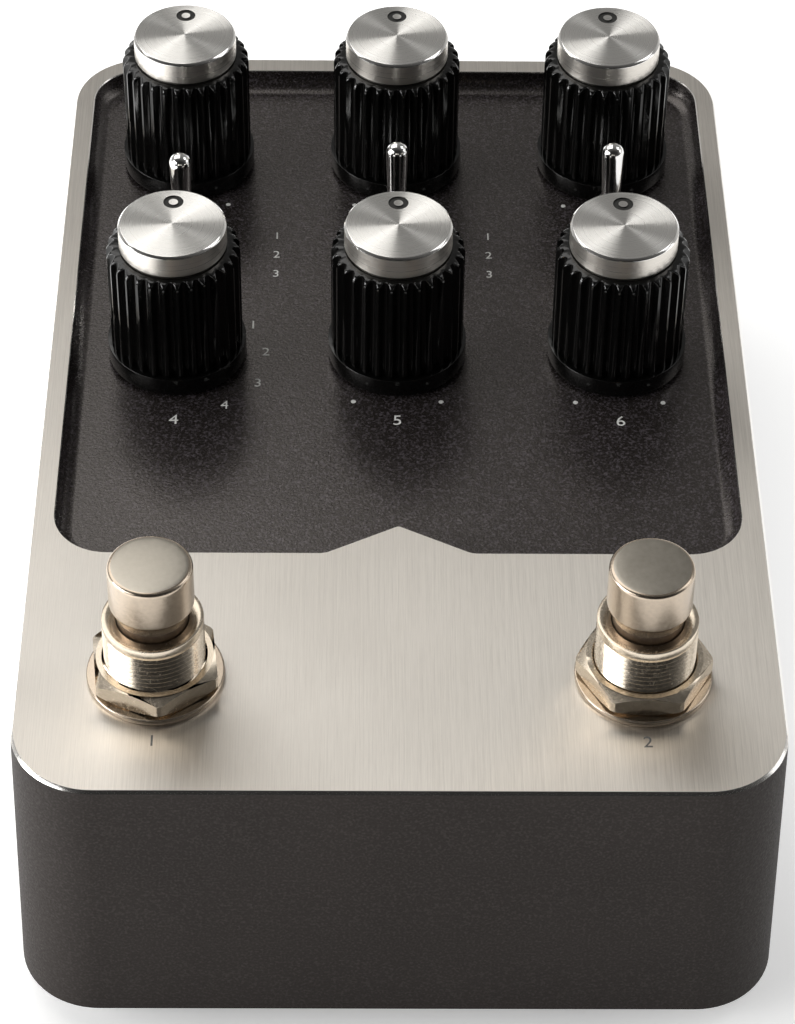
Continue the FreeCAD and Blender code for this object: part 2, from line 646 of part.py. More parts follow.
def footswitch_housings():
    """Switch boxes under the roof, hollow for the stems, with lugs down to the main board."""
    bottom = SWITCH_HOUSING_TOP - SWITCH_HOUSING_HEIGHT
    hollow_foot = SWITCH_STEM_FOOT - SWITCH_TRAVEL - SWITCH_HOLLOW_GAP
    box = block(0, 0, bottom, SWITCH_HOUSING_WIDTH, SWITCH_HOUSING_WIDTH, SWITCH_HOUSING_HEIGHT)
    lugs = [block(i * SWITCH_LUG_PITCH / 2, 0, MAIN_BOARD_TOP, SWITCH_LUG_WIDTH, SWITCH_LUG_THICKNESS,
                  bottom - MAIN_BOARD_TOP + 1) for i in (-1, 1)]
    hollow = disc(SWITCH_STEM_RADIUS + SWITCH_SLIDE_CLEARANCE, hollow_foot, SWITCH_HOUSING_TOP + 1, SMALL_SIDES)
    box = box.fuse(lugs).cut(hollow).removeSplitter()
    return group([shifted(box, x, y, 0) for x, y in footswitch_centres()])


def footswitch_washers():
    washer = collar(SWITCH_WASHER_RADIUS, SWITCH_BUSH_RADIUS + PANEL_HOLE_CLEARANCE,
                    SHELL_TOP, SHELL_TOP + SWITCH_WASHER_THICKNESS, MEDIUM_SIDES)
    return group([shifted(washer, x, y, 0) for x, y in footswitch_centres()])


def footswitch_nuts():
    nuts = []
    for side, turn in SWITCH_NUT_TURN_DEGREES.items():
        nut = hex_nut(SWITCH_NUT_FLATS, SWITCH_NUT_HEIGHT, SWITCH_BUSH_RADIUS + THREAD_CLEARANCE,
                      MEDIUM_SIDES, turn)
        nuts.append(shifted(nut, COLUMNS[side], FOOTSWITCH_Y, SHELL_TOP + SWITCH_WASHER_THICKNESS))
    return group(nuts)


def status_lights():
    """Clear rods that stand on the lamps and end in a low dome above the top face."""
    top = SHELL_TOP + LIGHT_DOME
    pipe = turned([(0, LAMP_TOP), (LIGHT_RADIUS, LAMP_TOP), (LIGHT_RADIUS, SHELL_TOP),
                   (LIGHT_RADIUS * LIGHT_DOME_SHARE, top), (0, top)], SMALL_SIDES)
    return group([shifted(pipe, x, y, 0) for x, y in light_centres()])


def circuit_board(front, bottom):
    """A board that fits the cavity, its corners cut off to clear the round ones."""
    side = HALF_WIDTH - WALL - BOARD_EDGE_GAP
    rear = REAR_INSIDE - BOARD_EDGE_GAP
    cut = BOARD_CORNER_CUT
    outline = [(-side, front + cut), (-side + cut, front), (side - cut, front), (side, front + cut),
               (side, rear - cut), (side - cut, rear), (-side + cut, rear), (-side, rear - cut)]
    return skinned([[Vector(x, y, z) for x, y in outline] for z in (bottom, bottom + BOARD_THICKNESS)])


def board_spacers():
    """Hexagonal spacers: the base plate carries the main board, and that the control board."""
    def spacer(x, y, z0, z1):
        corner = SPACER_FLATS / math.sqrt(3)
        return shifted(skinned([ring(corner, z0, 6), ring(corner, z1, 6)]), x, y, 0)

    across = HALF_WIDTH - SPACER_SIDE_INSET
    rear = REAR_INSIDE - SPACER_REAR_SETBACK
    upper_rows = [rear - SPACER_PITCH, rear]
    lower_rows = [FRONT_EDGE + SPACER_FRONT_SETBACK] + upper_rows
    spacers = []
    for x in (-across, across):
        spacers += [spacer(x, y, MAIN_BOARD_TOP, CONTROL_BOARD_BOTTOM) for y in upper_rows]
        spacers += [spacer(x, y, PLATE_TOP, MAIN_BOARD_BOTTOM) for y in lower_rows]
    return group(spacers)


def board_connector():
    """Socket strip on the main board, and the narrower plug strip that enters it."""
    plug_foot = MAIN_BOARD_TOP + CONNECTOR_SOCKET_HEIGHT
    y = REAR_INSIDE - JACK_HOUSING_LENGTH - CONNECTOR_JACK_GAP - CONNECTOR_LENGTH / 2
    socket = block(CONNECTOR_X, y, MAIN_BOARD_TOP, CONNECTOR_WIDTH, CONNECTOR_LENGTH,
                   CONNECTOR_SOCKET_HEIGHT)
    plug = block(CONNECTOR_X, y, plug_foot, CONNECTOR_PLUG_WIDTH, CONNECTOR_LENGTH,
                 CONTROL_BOARD_BOTTOM - plug_foot)
    return group([socket, plug])


def board_components():
    """Chips, capacitors and the lamps under the status lights."""
    processor_y = FRONT_EDGE + PROCESSOR_SETBACK
    parts = [block(0, processor_y, MAIN_BOARD_TOP, PROCESSOR_WIDTH, PROCESSOR_WIDTH, PROCESSOR_HEIGHT)]
    for x in (-CHIP_X, CHIP_X):
        for y in (processor_y, processor_y + CHIP_PITCH):
            parts.append(block(x, y, MAIN_BOARD_TOP, CHIP_WIDTH, CHIP_LENGTH, CHIP_HEIGHT))
    parts += [block(x, y, MAIN_BOARD_TOP, LAMP_SIZE, LAMP_SIZE, LAMP_HEIGHT) for x, y in light_centres()]
    capacitor = disc(CAPACITOR_RADIUS, MAIN_BOARD_TOP, MAIN_BOARD_TOP + CAPACITOR_HEIGHT, HIDDEN_SIDES)
    for i in (-1, 0, 1):
        parts.append(shifted(capacitor, i * CAPACITOR_PITCH, FRONT_EDGE + CAPACITOR_SETBACK, 0))
    return group(parts)


def jack_housings():
    """Moulded jacks: square body, threaded nose, and a wider chamber for the tip contact."""
    chamber_y = REAR_REACH - JACK_BORE_LENGTH - JACK_CHAMBER_LENGTH / 2
    nose = disc(JACK_NOSE_RADIUS, REAR_INSIDE - 1, REAR_REACH, MEDIUM_SIDES)
    bore = Part.makeCylinder(JACK_BORE_RADIUS, JACK_BORE_LENGTH + 1, Vector(0, 0, REAR_REACH - JACK_BORE_LENGTH))
    body = block(0, REAR_INSIDE - JACK_HOUSING_LENGTH / 2, MAIN_BOARD_TOP,
                 JACK_HOUSING_WIDTH, JACK_HOUSING_LENGTH, JACK_HOUSING_HEIGHT)
    chamber = block(0, chamber_y, JACK_Z - JACK_CHAMBER_SIZE / 2,
                    JACK_CHAMBER_SIZE, JACK_CHAMBER_LENGTH, JACK_CHAMBER_SIZE)
    jack = body.fuse(along_rear(nose, 0, JACK_Z)).cut([along_rear(bore, 0, JACK_Z), chamber]).removeSplitter()
    return group([shifted(jack, x, 0, 0) for x in jack_centres()])


def jack_contacts():
    """Contact leaves standing in each jack's chamber, clear of the plug's path."""
    y = REAR_REACH - JACK_BORE_LENGTH - JACK_CHAMBER_LENGTH / 2
    reach = (JACK_CHAMBER_SIZE - JACK_CONTACT_THICKNESS) / 2
    leaf = block(0, y, JACK_Z - JACK_CONTACT_WIDTH / 2,
                 JACK_CONTACT_THICKNESS, JACK_CONTACT_LENGTH, JACK_CONTACT_WIDTH)
    return group([shifted(leaf, x + side * reach, 0, 0) for x in jack_centres() for side in (-1, 1)])


def jack_nuts():
    nut = hex_nut(JACK_NUT_FLATS, JACK_NUT_HEIGHT, JACK_NOSE_RADIUS + THREAD_CLEARANCE,
                  MEDIUM_SIDES, JACK_NUT_TURN_DEGREES)
    return group([along_rear(shifted(nut, 0, 0, REAR_FACE), x, JACK_Z) for x in jack_centres()])


def power_inlet():
    """Barrel inlet, its mouth flush with the rear face."""
    floor = REAR_FACE - INLET_BORE_DEPTH
    body = block(INLET_X, REAR_FACE - INLET_LENGTH / 2, MAIN_BOARD_TOP, INLET_WIDTH, INLET_LENGTH, INLET_HEIGHT)
    bore = Part.makeCylinder(INLET_BORE_RADIUS, INLET_BORE_DEPTH + 1, Vector(0, 0, floor))
    return body.cut(along_rear(bore, INLET_X, INLET_Z))


def power_inlet_pin():
    pin = Part.makeCylinder(INLET_PIN_RADIUS, INLET_PIN_LENGTH, Vector(0, 0, REAR_FACE - INLET_BORE_DEPTH))
    return along_rear(pin, INLET_X, INLET_Z)


def data_socket_shell():
    """Pressed metal shell, open to the rear, standing on the control board."""
    inner_width = SOCKET_WIDTH - 2 * SOCKET_WALL
    inner_height = SOCKET_HEIGHT - 2 * SOCKET_WALL
    start = REAR_FACE - SOCKET_LENGTH
    outer = skinned([slot_ring(SOCKET_WIDTH, SOCKET_HEIGHT, z) for z in (start, REAR_FACE)])
    inner = skinned([slot_ring(inner_width, inner_height, z) for z in (start + SOCKET_WALL, REAR_FACE + 1)])
    return along_rear(outer.cut(inner), SOCKET_X, SOCKET_Z)


def data_socket_tongue():
    start = REAR_FACE - SOCKET_LENGTH + SOCKET_WALL
    length = REAR_FACE - TONGUE_SETBACK - start
    return block(SOCKET_X, start + length / 2, SOCKET_Z - TONGUE_THICKNESS / 2,
                 TONGUE_WIDTH, length, TONGUE_THICKNESS)


def pair_button():
    """Round button through the rear wall, kept in by its flange."""
    flange_inner = BUTTON_FLANGE_OUTER - BUTTON_FLANGE_THICKNESS
    top = REAR_FACE + BUTTON_STAND
    button = turned([(0, flange_inner), (BUTTON_FLANGE_RADIUS, flange_inner),
                     (BUTTON_FLANGE_RADIUS, BUTTON_FLANGE_OUTER), (BUTTON_RADIUS, BUTTON_FLANGE_OUTER),
                     (BUTTON_RADIUS, top), (0, top)], SMALL_SIDES)
    return along_rear(button, BUTTON_X, BUTTON_Z)


def pair_switch():
    """Small push switch on the control board behind the button."""
    rear = BUTTON_FLANGE_OUTER - BUTTON_FLANGE_THICKNESS - BUTTON_TRAVEL - BUTTON_SWITCH_GAP
    return block(BUTTON_X, rear - BUTTON_SWITCH_LENGTH / 2, CONTROL_BOARD_TOP,
                 BUTTON_SWITCH_WIDTH, BUTTON_SWITCH_LENGTH, BUTTON_SWITCH_HEIGHT)


def fixed_nodes():
    return {
        "enclosure": enclosure(),
        "base_plate": base_plate(),
        "rubber_feet": rubber_feet(),
        "pot_housings": pot_housings(),
        "toggle_housings": toggle_housings(),
        "toggle_bushings": toggle_bushings(),
        "footswitch_housings": footswitch_housings(),
        "footswitch_bushings": footswitch_bushings(),
        "footswitch_washers": footswitch_washers(),
        "footswitch_nuts": footswitch_nuts(),
        "status_lights": status_lights(),
        "control_board": circuit_board(CONTROL_BOARD_FRONT, CONTROL_BOARD_BOTTOM),
        "main_board": circuit_board(MAIN_BOARD_FRONT, MAIN_BOARD_BOTTOM),
        "board_spacers": board_spacers(),
        "board_connector": board_connector(),
        "board_components": board_components(),
        "jack_housings": jack_housings(),
        "jack_contacts": jack_contacts(),
        "jack_nuts": jack_nuts(),
        "power_inlet": power_inlet(),
        "power_inlet_pin": power_inlet_pin(),
        "data_socket_shell": data_socket_shell(),
        "data_socket_tongue": data_socket_tongue(),
        "pair_switch": pair_switch(),
    }


def moving_nodes():
    parts = {"pair_button": pair_button()}
    knob_pieces = {"knob_body": knob_body(), "knob_cap": knob_cap(), "pot_shaft": pot_shaft()}
    for place, x, y in knob_places():
        for name, shape in knob_pieces.items():
            parts[f"{name}_{place}"] = shifted(shape, x, y, DECK_TOP)
    for column in COLUMNS:
        parts[f"toggle_lever_{column}"] = toggle_lever(column)
    for side in ("left", "right"):
        parts[f"footswitch_plunger_{side}"] = footswitch_plunger(side)
        parts[f"footswitch_spring_{side}"] = footswitch_spring(side)
    return parts


def write_nodes():
    os.makedirs("parts", exist_ok=True)
    for name, shape in {**fixed_nodes(), **moving_nodes()}.items():
        placed = shifted(shape, 0, -ORIGIN_Y, 0)
        if not placed.Solids or not all(solid.isValid() for solid in placed.Solids):
            raise ValueError(f"{name} has no valid solid")
        placed.exportStep(f"parts/{name}.step")
        print(name, len(placed.Solids), "solids", round(placed.Volume, 1), "mm3")


write_nodes()
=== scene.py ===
import json
import math

import bmesh
import bpy
from mathutils import Matrix, Vector


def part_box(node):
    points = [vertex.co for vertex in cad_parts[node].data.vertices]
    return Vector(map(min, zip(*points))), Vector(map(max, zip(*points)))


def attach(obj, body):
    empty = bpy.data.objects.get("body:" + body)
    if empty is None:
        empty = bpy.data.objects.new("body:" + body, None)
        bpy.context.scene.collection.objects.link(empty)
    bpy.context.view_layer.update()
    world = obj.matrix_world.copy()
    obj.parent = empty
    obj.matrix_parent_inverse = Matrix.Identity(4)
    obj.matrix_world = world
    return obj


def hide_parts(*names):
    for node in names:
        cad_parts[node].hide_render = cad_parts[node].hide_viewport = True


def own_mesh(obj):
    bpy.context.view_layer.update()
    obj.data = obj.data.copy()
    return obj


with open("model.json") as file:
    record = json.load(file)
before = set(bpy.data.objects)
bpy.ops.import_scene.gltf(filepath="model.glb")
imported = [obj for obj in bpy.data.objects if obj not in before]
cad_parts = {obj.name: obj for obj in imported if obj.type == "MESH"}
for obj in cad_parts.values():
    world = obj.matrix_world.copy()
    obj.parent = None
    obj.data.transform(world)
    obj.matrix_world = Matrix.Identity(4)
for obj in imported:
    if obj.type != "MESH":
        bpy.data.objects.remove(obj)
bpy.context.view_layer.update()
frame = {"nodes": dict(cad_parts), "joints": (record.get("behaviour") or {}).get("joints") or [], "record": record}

# Shapes are written in millimetres, counted from the middle of the enclosure.
MM = 0.001
JOINTS = {joint["name"]: joint for joint in frame["joints"]}

SIDES = ("left", "right")
UPRIGHT = Matrix.Identity(4)
REAR = Matrix.Rotation(math.radians(-90), 4, "X")

# Points round a turned piece and along an eased corner
ROUND = 96
EASE_STEPS = 3

# How far a cutter runs on past what it cuts, and what keeps two levels apart
OVERRUN = 1
NUDGE = 0.02

# Enclosure: levels, half sizes, walls, the rebate for the base plate, and edges
SHELL_BOTTOM = 3.0
SHELL_TOP = 42.2
DECK_TOP = 39.4
DECK_UNDER = 37.2
FRONT_UNDER = 39.7
ROOF_STEP = -33.3
HALF_WIDTH = 45.5
HALF_LENGTH = 70.0
DRAFT = math.tan(math.radians(1.4))
CORNER_RADIUS = 10.0
WALL = 2.4
PLATE_LIP = 1.3
PLATE_THICKNESS = 1.5
EDGE = 0.35
EDGE_DROP = 0.1
EDGE_INSET = 0.22
FOOT_EDGE = 0.2

# Sunken deck, with the pointed notch in its front edge and the cove at its foot
DECK_SIDE = 42.7
DECK_REAR = 67.0
DECK_FRONT = -30.9
DECK_CORNER = 6.8
NOTCH_HALF = 9.1
NOTCH_DEPTH = 4.8
NOTCH_CORNER = 3.0
NOTCH_TIP = 0.8
COVE = 2.0
COVE_STEPS = 8
RIM_EDGE = 0.12

# Holes, by radius, and the inlet's and data socket's openings
KNOB_HOLE = 3.7
TOGGLE_HOLE = 3.25
SWITCH_HOLE = 6.1
LIGHT_HOLE = 1.6
JACK_HOLE = 4.8
BUTTON_HOLE = 1.6
INLET_WIDTH, INLET_HEIGHT = 9.3, 11.3
SOCKET_WIDTH, SOCKET_HEIGHT = 9.24, 3.56

# Where the controls stand
COLUMNS = {"left": -28.9, "centre": 0.0, "right": 28.9}
KNOB_ROWS = {"rear": 49.7, "front": 9.3}
TOGGLES_Y = 29.5
FOOTSWITCH_Y = -51.5
LIGHTS_Y = -35.0

# Knobs. A groove is GROOVE deep and fills GROOVE_HALF of its flute on each side of its middle.
# The shoulder rounds the grip's top. The well leaves room for the bush and its nut, and the bore
# holds the shaft.
FLUTES = 30
FLUTE_POINTS = 14
GRIP_POINTS = FLUTES * FLUTE_POINTS
GROOVE = 0.95
GROOVE_HALF = 0.42
GROOVE_POWER = 0.8
SHOULDER = 1.15
SKIRT_RADIUS = 9.05
SKIRT_HEIGHT = 2.7
GRIP_FOOT = 8.95
GRIP_HEAD = 8.6
GRIP_RIM = 6.75
KNOB_WELL_RADIUS = 6.6
KNOB_WELL_TOP = 5.6
KNOB_BORE_RADIUS = 3.03
KNOB_ROOF = 3.2
CAP_RADIUS = 6.95
MARK_OFFSET = 4.3
MARK_INNER = 0.6
MARK_OUTER = 1.3
MARK_DEPTH = 0.18

# Threads, as pitch and depth, and one ridge's points as shares of depth and pitch
TOGGLE_THREAD = (0.5, 0.2)
SWITCH_THREAD = (0.65, 0.23)
JACK_THREAD = (0.45, 0.16)
RIDGE = ((1.0, 0.0), (0.1, 0.43), (0.0, 0.48), (0.0, 0.52), (0.1, 0.57))

# Nuts: across the flats, hole radius, and the share of the flats that the end faces fill
TOGGLE_NUT = (8.0, 3.15)
SWITCH_NUT = (14.3, 6.03)
JACK_NUT = (12.7, 4.72)
NUT_FACE = 0.97

# Toggle switches, with each lever's lean as it stands in the photograph
TOGGLE_BUSH = 3.12
TOGGLE_BALL = 1.9
TOGGLE_TIP = 1.47
TOGGLE_REACH = 16.9
TOGGLE_NUT_HEIGHT = 1.8
TOGGLE_LEANS = {"left": 0, "centre": -11, "right": -11}

# Footswitches: the cap stands CAP_LIFT over its bush, on a neck guided in the bush's well
SWITCH_TRAVEL = 2.1
CAP_LIFT = 2.2
SWITCH_BUSH = 6.0
SWITCH_WELL = 4.28
SWITCH_NECK = 4.2
SWITCH_STEM = 2.5
SWITCH_GUIDE = 3.2
SPRING_ROOM = 3.4
SPRING_WIRE = 0.3
SPRING_TURNS = 5
SWITCH_NUT_TURNS = {"left": 66.0, "right": 30.0}
SWITCH_WASHER = 8.2

# Status lights
LIGHT_RADIUS = 1.5

# Rear
JACK_NOSE = 4.7
JACK_RIDGES = 4.92

# Feet and base plate screws
FOOT_X, FOOT_Y = 32.0, 56.5
SCREW_COLUMNS = (-39.0, 39.0)
SCREW_ROWS = (-64.0, -2.0, 60.5)
SCREW_FACE = 2.2
SCREW_FLOOR = 2.75
SCREW_SOCKET = 1.1

# Prints: heights of figures, and distances from their control or places
FIGURES = {"knob": 2.6, "toggle": 2.0, "step": 2.2, "footswitch": 2.4}
PRINT_LIFT = 0.012
PRINT_EXTRUDE = 0.015
DOT_X, DOT_Y = 5.7, 9.6
DOT_RADIUS, DOT_HEIGHT = 0.33, 0.02
KNOB_NUMBER_Y = 13.25
TOGGLE_NUMBER_X, TOGGLE_NUMBER_Y = 12.6, 3.8
TOGGLE_NUMBER_STEP = 4
FOOTSWITCH_NUMBER_Y = -62.1
STEP_NUMBERS = ((-19.1, 14.7), (-17.3, 9.3), (-18.2, 3.2), (-22.4, -1.1))

# The size and the relief of the coats' nap
NAP = 0.30
NAP_DEPTH = 0.03

# Light and camera, in metres
WARM_WHITE = (1.0, 0.985, 0.96, 1.0)
LAMP_AIM = (0.0, 0.0, 0.03)
KEY_CORNERS = [(-0.02, 0.93), (-0.55, 1.08), (-1.15, 1.45), (-1.3, 0.2), (-0.06, 0.0)]
KEY_HEIGHT = 0.9
KEY_STRENGTH = 1.95
FLOOR_HALF = 3.0
FLOOR_CELLS = 40

# Each softbox's place, size and power
SOFTBOXES = {
    "high_right": ((0.73, 0.24, 0.79), (0.45, 0.45), 1.2),
    "left": ((-1.05, -0.25, 0.35), (0.6, 0.5), 10.0),
    "front_left": ((-0.95, -0.70, 0.60), (0.5, 0.4), 2.2),
    "right": ((1.0, 0.1, 0.35), (0.5, 0.4), 0.8),
}

# The camera's place, its pitch, turn and roll, and its focal length in the photograph's pixels
CAMERA_PLACE = (-0.00459, -0.32706, 0.33603)
CAMERA_ANGLES = (44.22, -0.85, 0.81)
FOCAL_PIXELS = 3383.6
FRAME_PIXELS = 1024
SENSOR = 36.0

MIDDLE_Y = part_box("enclosure")[1].y / MM - HALF_LENGTH


def at(x, y, z):
    """A place in the row frame, in metres, from millimetres round the enclosure's middle."""
    return Vector((x, y + MIDDLE_Y, z)) * MM


MIDDLE = at(0, 0, 0)
JACK_PLACES = [(mount["pos_m"][0] / MM, mount["pos_m"][2] / MM)
               for mount in frame["record"]["mounts"] if "jack" in mount["name"]]


# Materials

def add(tree, kind, inputs=(), **settings):
    """A new shader node; inputs give each socket a value or another node's output."""
    node = tree.nodes.new("ShaderNode" + kind)
    for key, value in settings.items():
        setattr(node, key, value)
    for socket, value in dict(inputs).items():
        if isinstance(value, bpy.types.NodeSocket):
            tree.links.new(value, node.inputs[socket])
        else:
            node.inputs[socket].default_value = value
    return node


def ramp(tree, factor, stops):
    """Colours along a factor: a list of (place, (r, g, b))."""
    node = add(tree, "ValToRGB", {"Fac": factor})
    elements = node.color_ramp.elements
    while len(elements) < len(stops):
        elements.new(0.5)
    for element, (place, colour) in zip(elements, stops):
        element.position = place
        element.color = (*colour, 1.0)
    return node.outputs["Color"]


def remap(tree, factor, low, high, start=0.3, end=0.7):
    """Brings a factor from the span start to end over to low to high."""
    node = add(tree, "MapRange", {"Value": factor, "From Min": start, "From Max": end,
                                  "To Min": low, "To Max": high})
    return node.outputs["Result"]


def grain(tree, size, stretch=(1, 1, 1), detail=3.0, offset=0.0):
    """Noise whose features are about size millimetres across, times stretch along each axis."""
    place = add(tree, "TexCoord").outputs["Object"]
    scale = [1 / (MM * size * part) for part in stretch]
    mapping = add(tree, "Mapping", {"Vector": place, "Scale": scale, "Location": (offset, offset, 0)})
    noise = {"Vector": mapping.outputs["Vector"], "Scale": 1.0, "Detail": detail}
    return add(tree, "TexNoise", noise).outputs["Fac"]


def total(tree, first, second, operation="ADD"):
    """The sum of two values or outputs, or the result of another operation on them."""
    return add(tree, "Math", {0: first, 1: second}, operation=operation).outputs[0]


def start_material(name, **values):
    """An empty node material and its shader, with whole-surface values set on the shader."""
    material = bpy.data.materials.new(name)
    material.use_nodes = True
    tree = material.node_tree
    shader = tree.nodes["Principled BSDF"]
    for socket, value in values.items():
        shader.inputs[socket.replace("_", " ")].default_value = value
    return material, tree, shader


def join(tree, shader, colour, roughness, height, depth):
    """Links colour, roughness and a bump of depth millimetres to the shader."""
    tree.links.new(colour, shader.inputs["Base Color"])
    tree.links.new(roughness, shader.inputs["Roughness"])
    bump = add(tree, "Bump", {"Height": height, "Distance": depth * MM, "Strength": 1.0})
    tree.links.new(bump.outputs["Normal"], shader.inputs["Normal"])


def finish(name, dark, light, rough, size=0.5, depth=0.01, patches=12.0, **values):
    """A plain finish: fine grain in colour, roughness and relief, and broad soft patches.

    The grain's size, its depth and the patches' size are in millimetres.
    """
    material, tree, shader = start_material(name, **values)
    fine = grain(tree, size)
    broad = grain(tree, patches, offset=3.7)
    mixed = total(tree, total(tree, fine, 0.65, "MULTIPLY"), total(tree, broad, 0.35, "MULTIPLY"))
    colours = ramp(tree, mixed, [(0.3, dark), (0.7, light)])
    join(tree, shader, colours, remap(tree, mixed, *rough), fine, depth)
    return material


def metal(name, dark, light, rough, size=0.4, depth=0.006, patches=12.0):
    """The same for bare metal."""
    return finish(name, dark, light, rough, size, depth, patches, Metallic=1.0)


def radial_grain(tree, size):
    """Noise along the distance from the piece's own axis, for turned and spun faces."""
    place = add(tree, "TexCoord").outputs["Object"]
    flat = add(tree, "VectorMath", {0: place, 1: (1.0, 1.0, 0.0)}, operation="MULTIPLY").outputs["Vector"]
    distance = add(tree, "VectorMath", {0: flat}, operation="LENGTH").outputs["Value"]
    height = add(tree, "SeparateXYZ", {"Vector": place}).outputs["Z"]
    joined = add(tree, "CombineXYZ", {"X": distance, "Y": height, "Z": 0.0}).outputs["Vector"]
    mapping = add(tree, "Mapping", {"Vector": joined, "Scale": (1 / (MM * size),) * 3}).outputs["Vector"]
    return add(tree, "TexNoise", {"Vector": mapping, "Scale": 1.0, "Detail": 2.0}).outputs["Fac"]


def ring_tangent(tree, shader, axis):
    """Gives the shader's stretched gloss a direction round an axis of the piece."""
    tangent = add(tree, "Tangent", direction_type="RADIAL", axis=axis)
    tree.links.new(tangent.outputs["Tangent"], shader.inputs["Tangent"])


def brushed_top():
    """Bare aluminium, brushed from front to rear."""
    material, tree, shader = start_material("brushed_top", Metallic=1.0, Anisotropic=0.85,
                                            Anisotropic_Rotation=0.25)
    lines = grain(tree, 0.16, (1, 90, 20), 4.0)
    fine = grain(tree, 0.07, (1, 40, 10), 2.0, 5.0)
    broad = grain(tree, 18.0, offset=1.3)
    mixed = total(tree, total(tree, lines, 0.6, "MULTIPLY"), total(tree, fine, 0.4, "MULTIPLY"))
    colour = ramp(tree, mixed, [(0.25, (0.62, 0.585, 0.535)), (0.5, (0.74, 0.70, 0.645)),
                                (0.75, (0.84, 0.80, 0.74))])
    rough = total(tree, remap(tree, mixed, 0.34, 0.46), remap(tree, broad, -0.03, 0.03))
    join(tree, shader, colour, rough, mixed, 0.012)
    ring_tangent(tree, shader, "X")
    return material


def spun_metal(name, light, rough, anisotropic):
    """Turned metal, its fine rings round the piece's axis."""
    material, tree, shader = start_material(name, Metallic=1.0, Anisotropic=anisotropic,
                                            Anisotropic_Rotation=0.25)
    rings = radial_grain(tree, 0.09)
    dark = tuple(0.95 * part for part in light)
    colour = ramp(tree, rings, [(0.3, dark), (0.7, light)])
    join(tree, shader, colour, remap(tree, rings, *rough), rings, 0.002)
    ring_tangent(tree, shader, "Z")
    return material


def speckled_coat(name, base, speck, rough, gloss):
    """A baked coat with a fine nap and lighter specks in it."""
    material, tree, shader = start_material(name, Specular_IOR_Level=gloss,
                                            Specular_Tint=(1.0, 0.92, 0.87, 1.0))
    fine = grain(tree, NAP, detail=4.0)
    specks = grain(tree, NAP * 1.1, detail=1.5, offset=9.1)
    broad = grain(tree, 22.0, offset=2.2)
    dark = tuple(0.82 * part for part in base)
    soft = ramp(tree, broad, [(0.3, dark), (0.7, base)])
    bright = ramp(tree, specks, [(0.48, (0, 0, 0)), (0.76, speck)])
    colour = add(tree, "Mix", {0: 1.0, 6: soft, 7: bright}, data_type="RGBA", blend_type="ADD")
    join(tree, shader, colour.outputs[2], remap(tree, fine, *rough), fine, NAP_DEPTH)
    return material


def light_lens():
    """Clear moulded rod, unlit."""
    material, tree, shader = start_material("light_lens", IOR=1.49, Transmission_Weight=0.75)
    haze = grain(tree, 0.4)
    colour = ramp(tree, haze, [(0.3, (0.80, 0.80, 0.78)), (0.7, (0.9, 0.9, 0.88))])
    join(tree, shader, colour, remap(tree, haze, 0.10, 0.22), haze, 0.004)
    return material


BRUSHED = brushed_top()
BRIGHT = metal("bright_edge", (0.80, 0.78, 0.75), (0.90, 0.88, 0.85), (0.16, 0.26), 0.3, 0.004)
SIDE_COAT = speckled_coat("side_coat", (0.028, 0.0235, 0.0215), (0.02, 0.018, 0.017), (0.50, 0.68), 0.16)
DECK_COAT = speckled_coat("deck_coat", (0.017, 0.014, 0.013), (0.070, 0.062, 0.072), (0.21, 0.30), 0.82)
PLATE_COAT = speckled_coat("plate_coat", (0.045, 0.043, 0.040), (0.02, 0.02, 0.02), (0.5, 0.65), 0.5)
KNOB_BLACK = finish("knob_black", (0.0015, 0.0015, 0.0015), (0.003, 0.003, 0.0028), (0.10, 0.18), 0.8, 0.001)
SPUN = spun_metal("knob_metal", (0.91, 0.895, 0.86), (0.26, 0.32), 1.0)
SPUN_SIDE = spun_metal("knob_metal_side", (0.80, 0.76, 0.70), (0.26, 0.38), 0.5)
CUT_EDGE = metal("knob_metal_edge", (0.86, 0.85, 0.83), (0.94, 0.93, 0.91), (0.08, 0.16), 0.3, 0.002)
# Near black in the sunken ring of each cap's mark
MARK = finish("mark_dark_fill", (0.012, 0.012, 0.010), (0.03, 0.03, 0.028), (0.45, 0.6), 0.15)
CHROME = metal("chrome", (0.80, 0.80, 0.79), (0.88, 0.88, 0.87), (0.05, 0.12), 0.6, 0.002)
NICKEL = metal("satin_nickel", (0.48, 0.40, 0.32), (0.58, 0.49, 0.39), (0.18, 0.28), 0.5)
NICKEL_TOP = metal("worn_nickel", (0.41, 0.375, 0.32), (0.48, 0.445, 0.385), (0.28, 0.34), 0.7, 0.001, 3.0)
# Nickel darkened as painted shade, for the lower neck under each footswitch cap
PAINTED_SHADE_NICKEL = metal("painted_shade_nickel", (0.16, 0.125, 0.095), (0.24, 0.19, 0.15), (0.3, 0.45), 0.4, 0.004)
THREADED = metal("threaded_nickel", (0.60, 0.52, 0.415), (0.76, 0.665, 0.54), (0.18, 0.30))
RUBBER = finish("foot_rubber", (0.018, 0.018, 0.018), (0.035, 0.034, 0.033), (0.7, 0.9), 0.3, 0.04)
PLASTIC = finish("moulded_plastic", (0.015, 0.015, 0.015), (0.03, 0.03, 0.03), (0.4, 0.55), 0.25)
BLUE_PLASTIC = finish("switch_housing", (0.05, 0.12, 0.24), (0.08, 0.17, 0.32), (0.35, 0.5), 0.3)
BOARD = finish("solder_mask", (0.010, 0.055, 0.030), (0.020, 0.085, 0.045), (0.25, 0.4), 0.8, 0.02)
BRASS = metal("brass", (0.60, 0.44, 0.20), (0.74, 0.57, 0.28), (0.2, 0.32))
STEEL = metal("plain_steel", (0.50, 0.50, 0.49), (0.62, 0.62, 0.61), (0.25, 0.38))
TIN = metal("control_metal", (0.42, 0.42, 0.40), (0.56, 0.56, 0.54), (0.32, 0.45))
PRINT_LIGHT = finish("light_print", (0.62, 0.62, 0.60), (0.78, 0.78, 0.76), (0.5, 0.65), 0.2, 0.004)
PRINT_DARK = finish("dark_print", (0.10, 0.10, 0.10), (0.16, 0.16, 0.155), (0.5, 0.65), 0.2, 0.004)
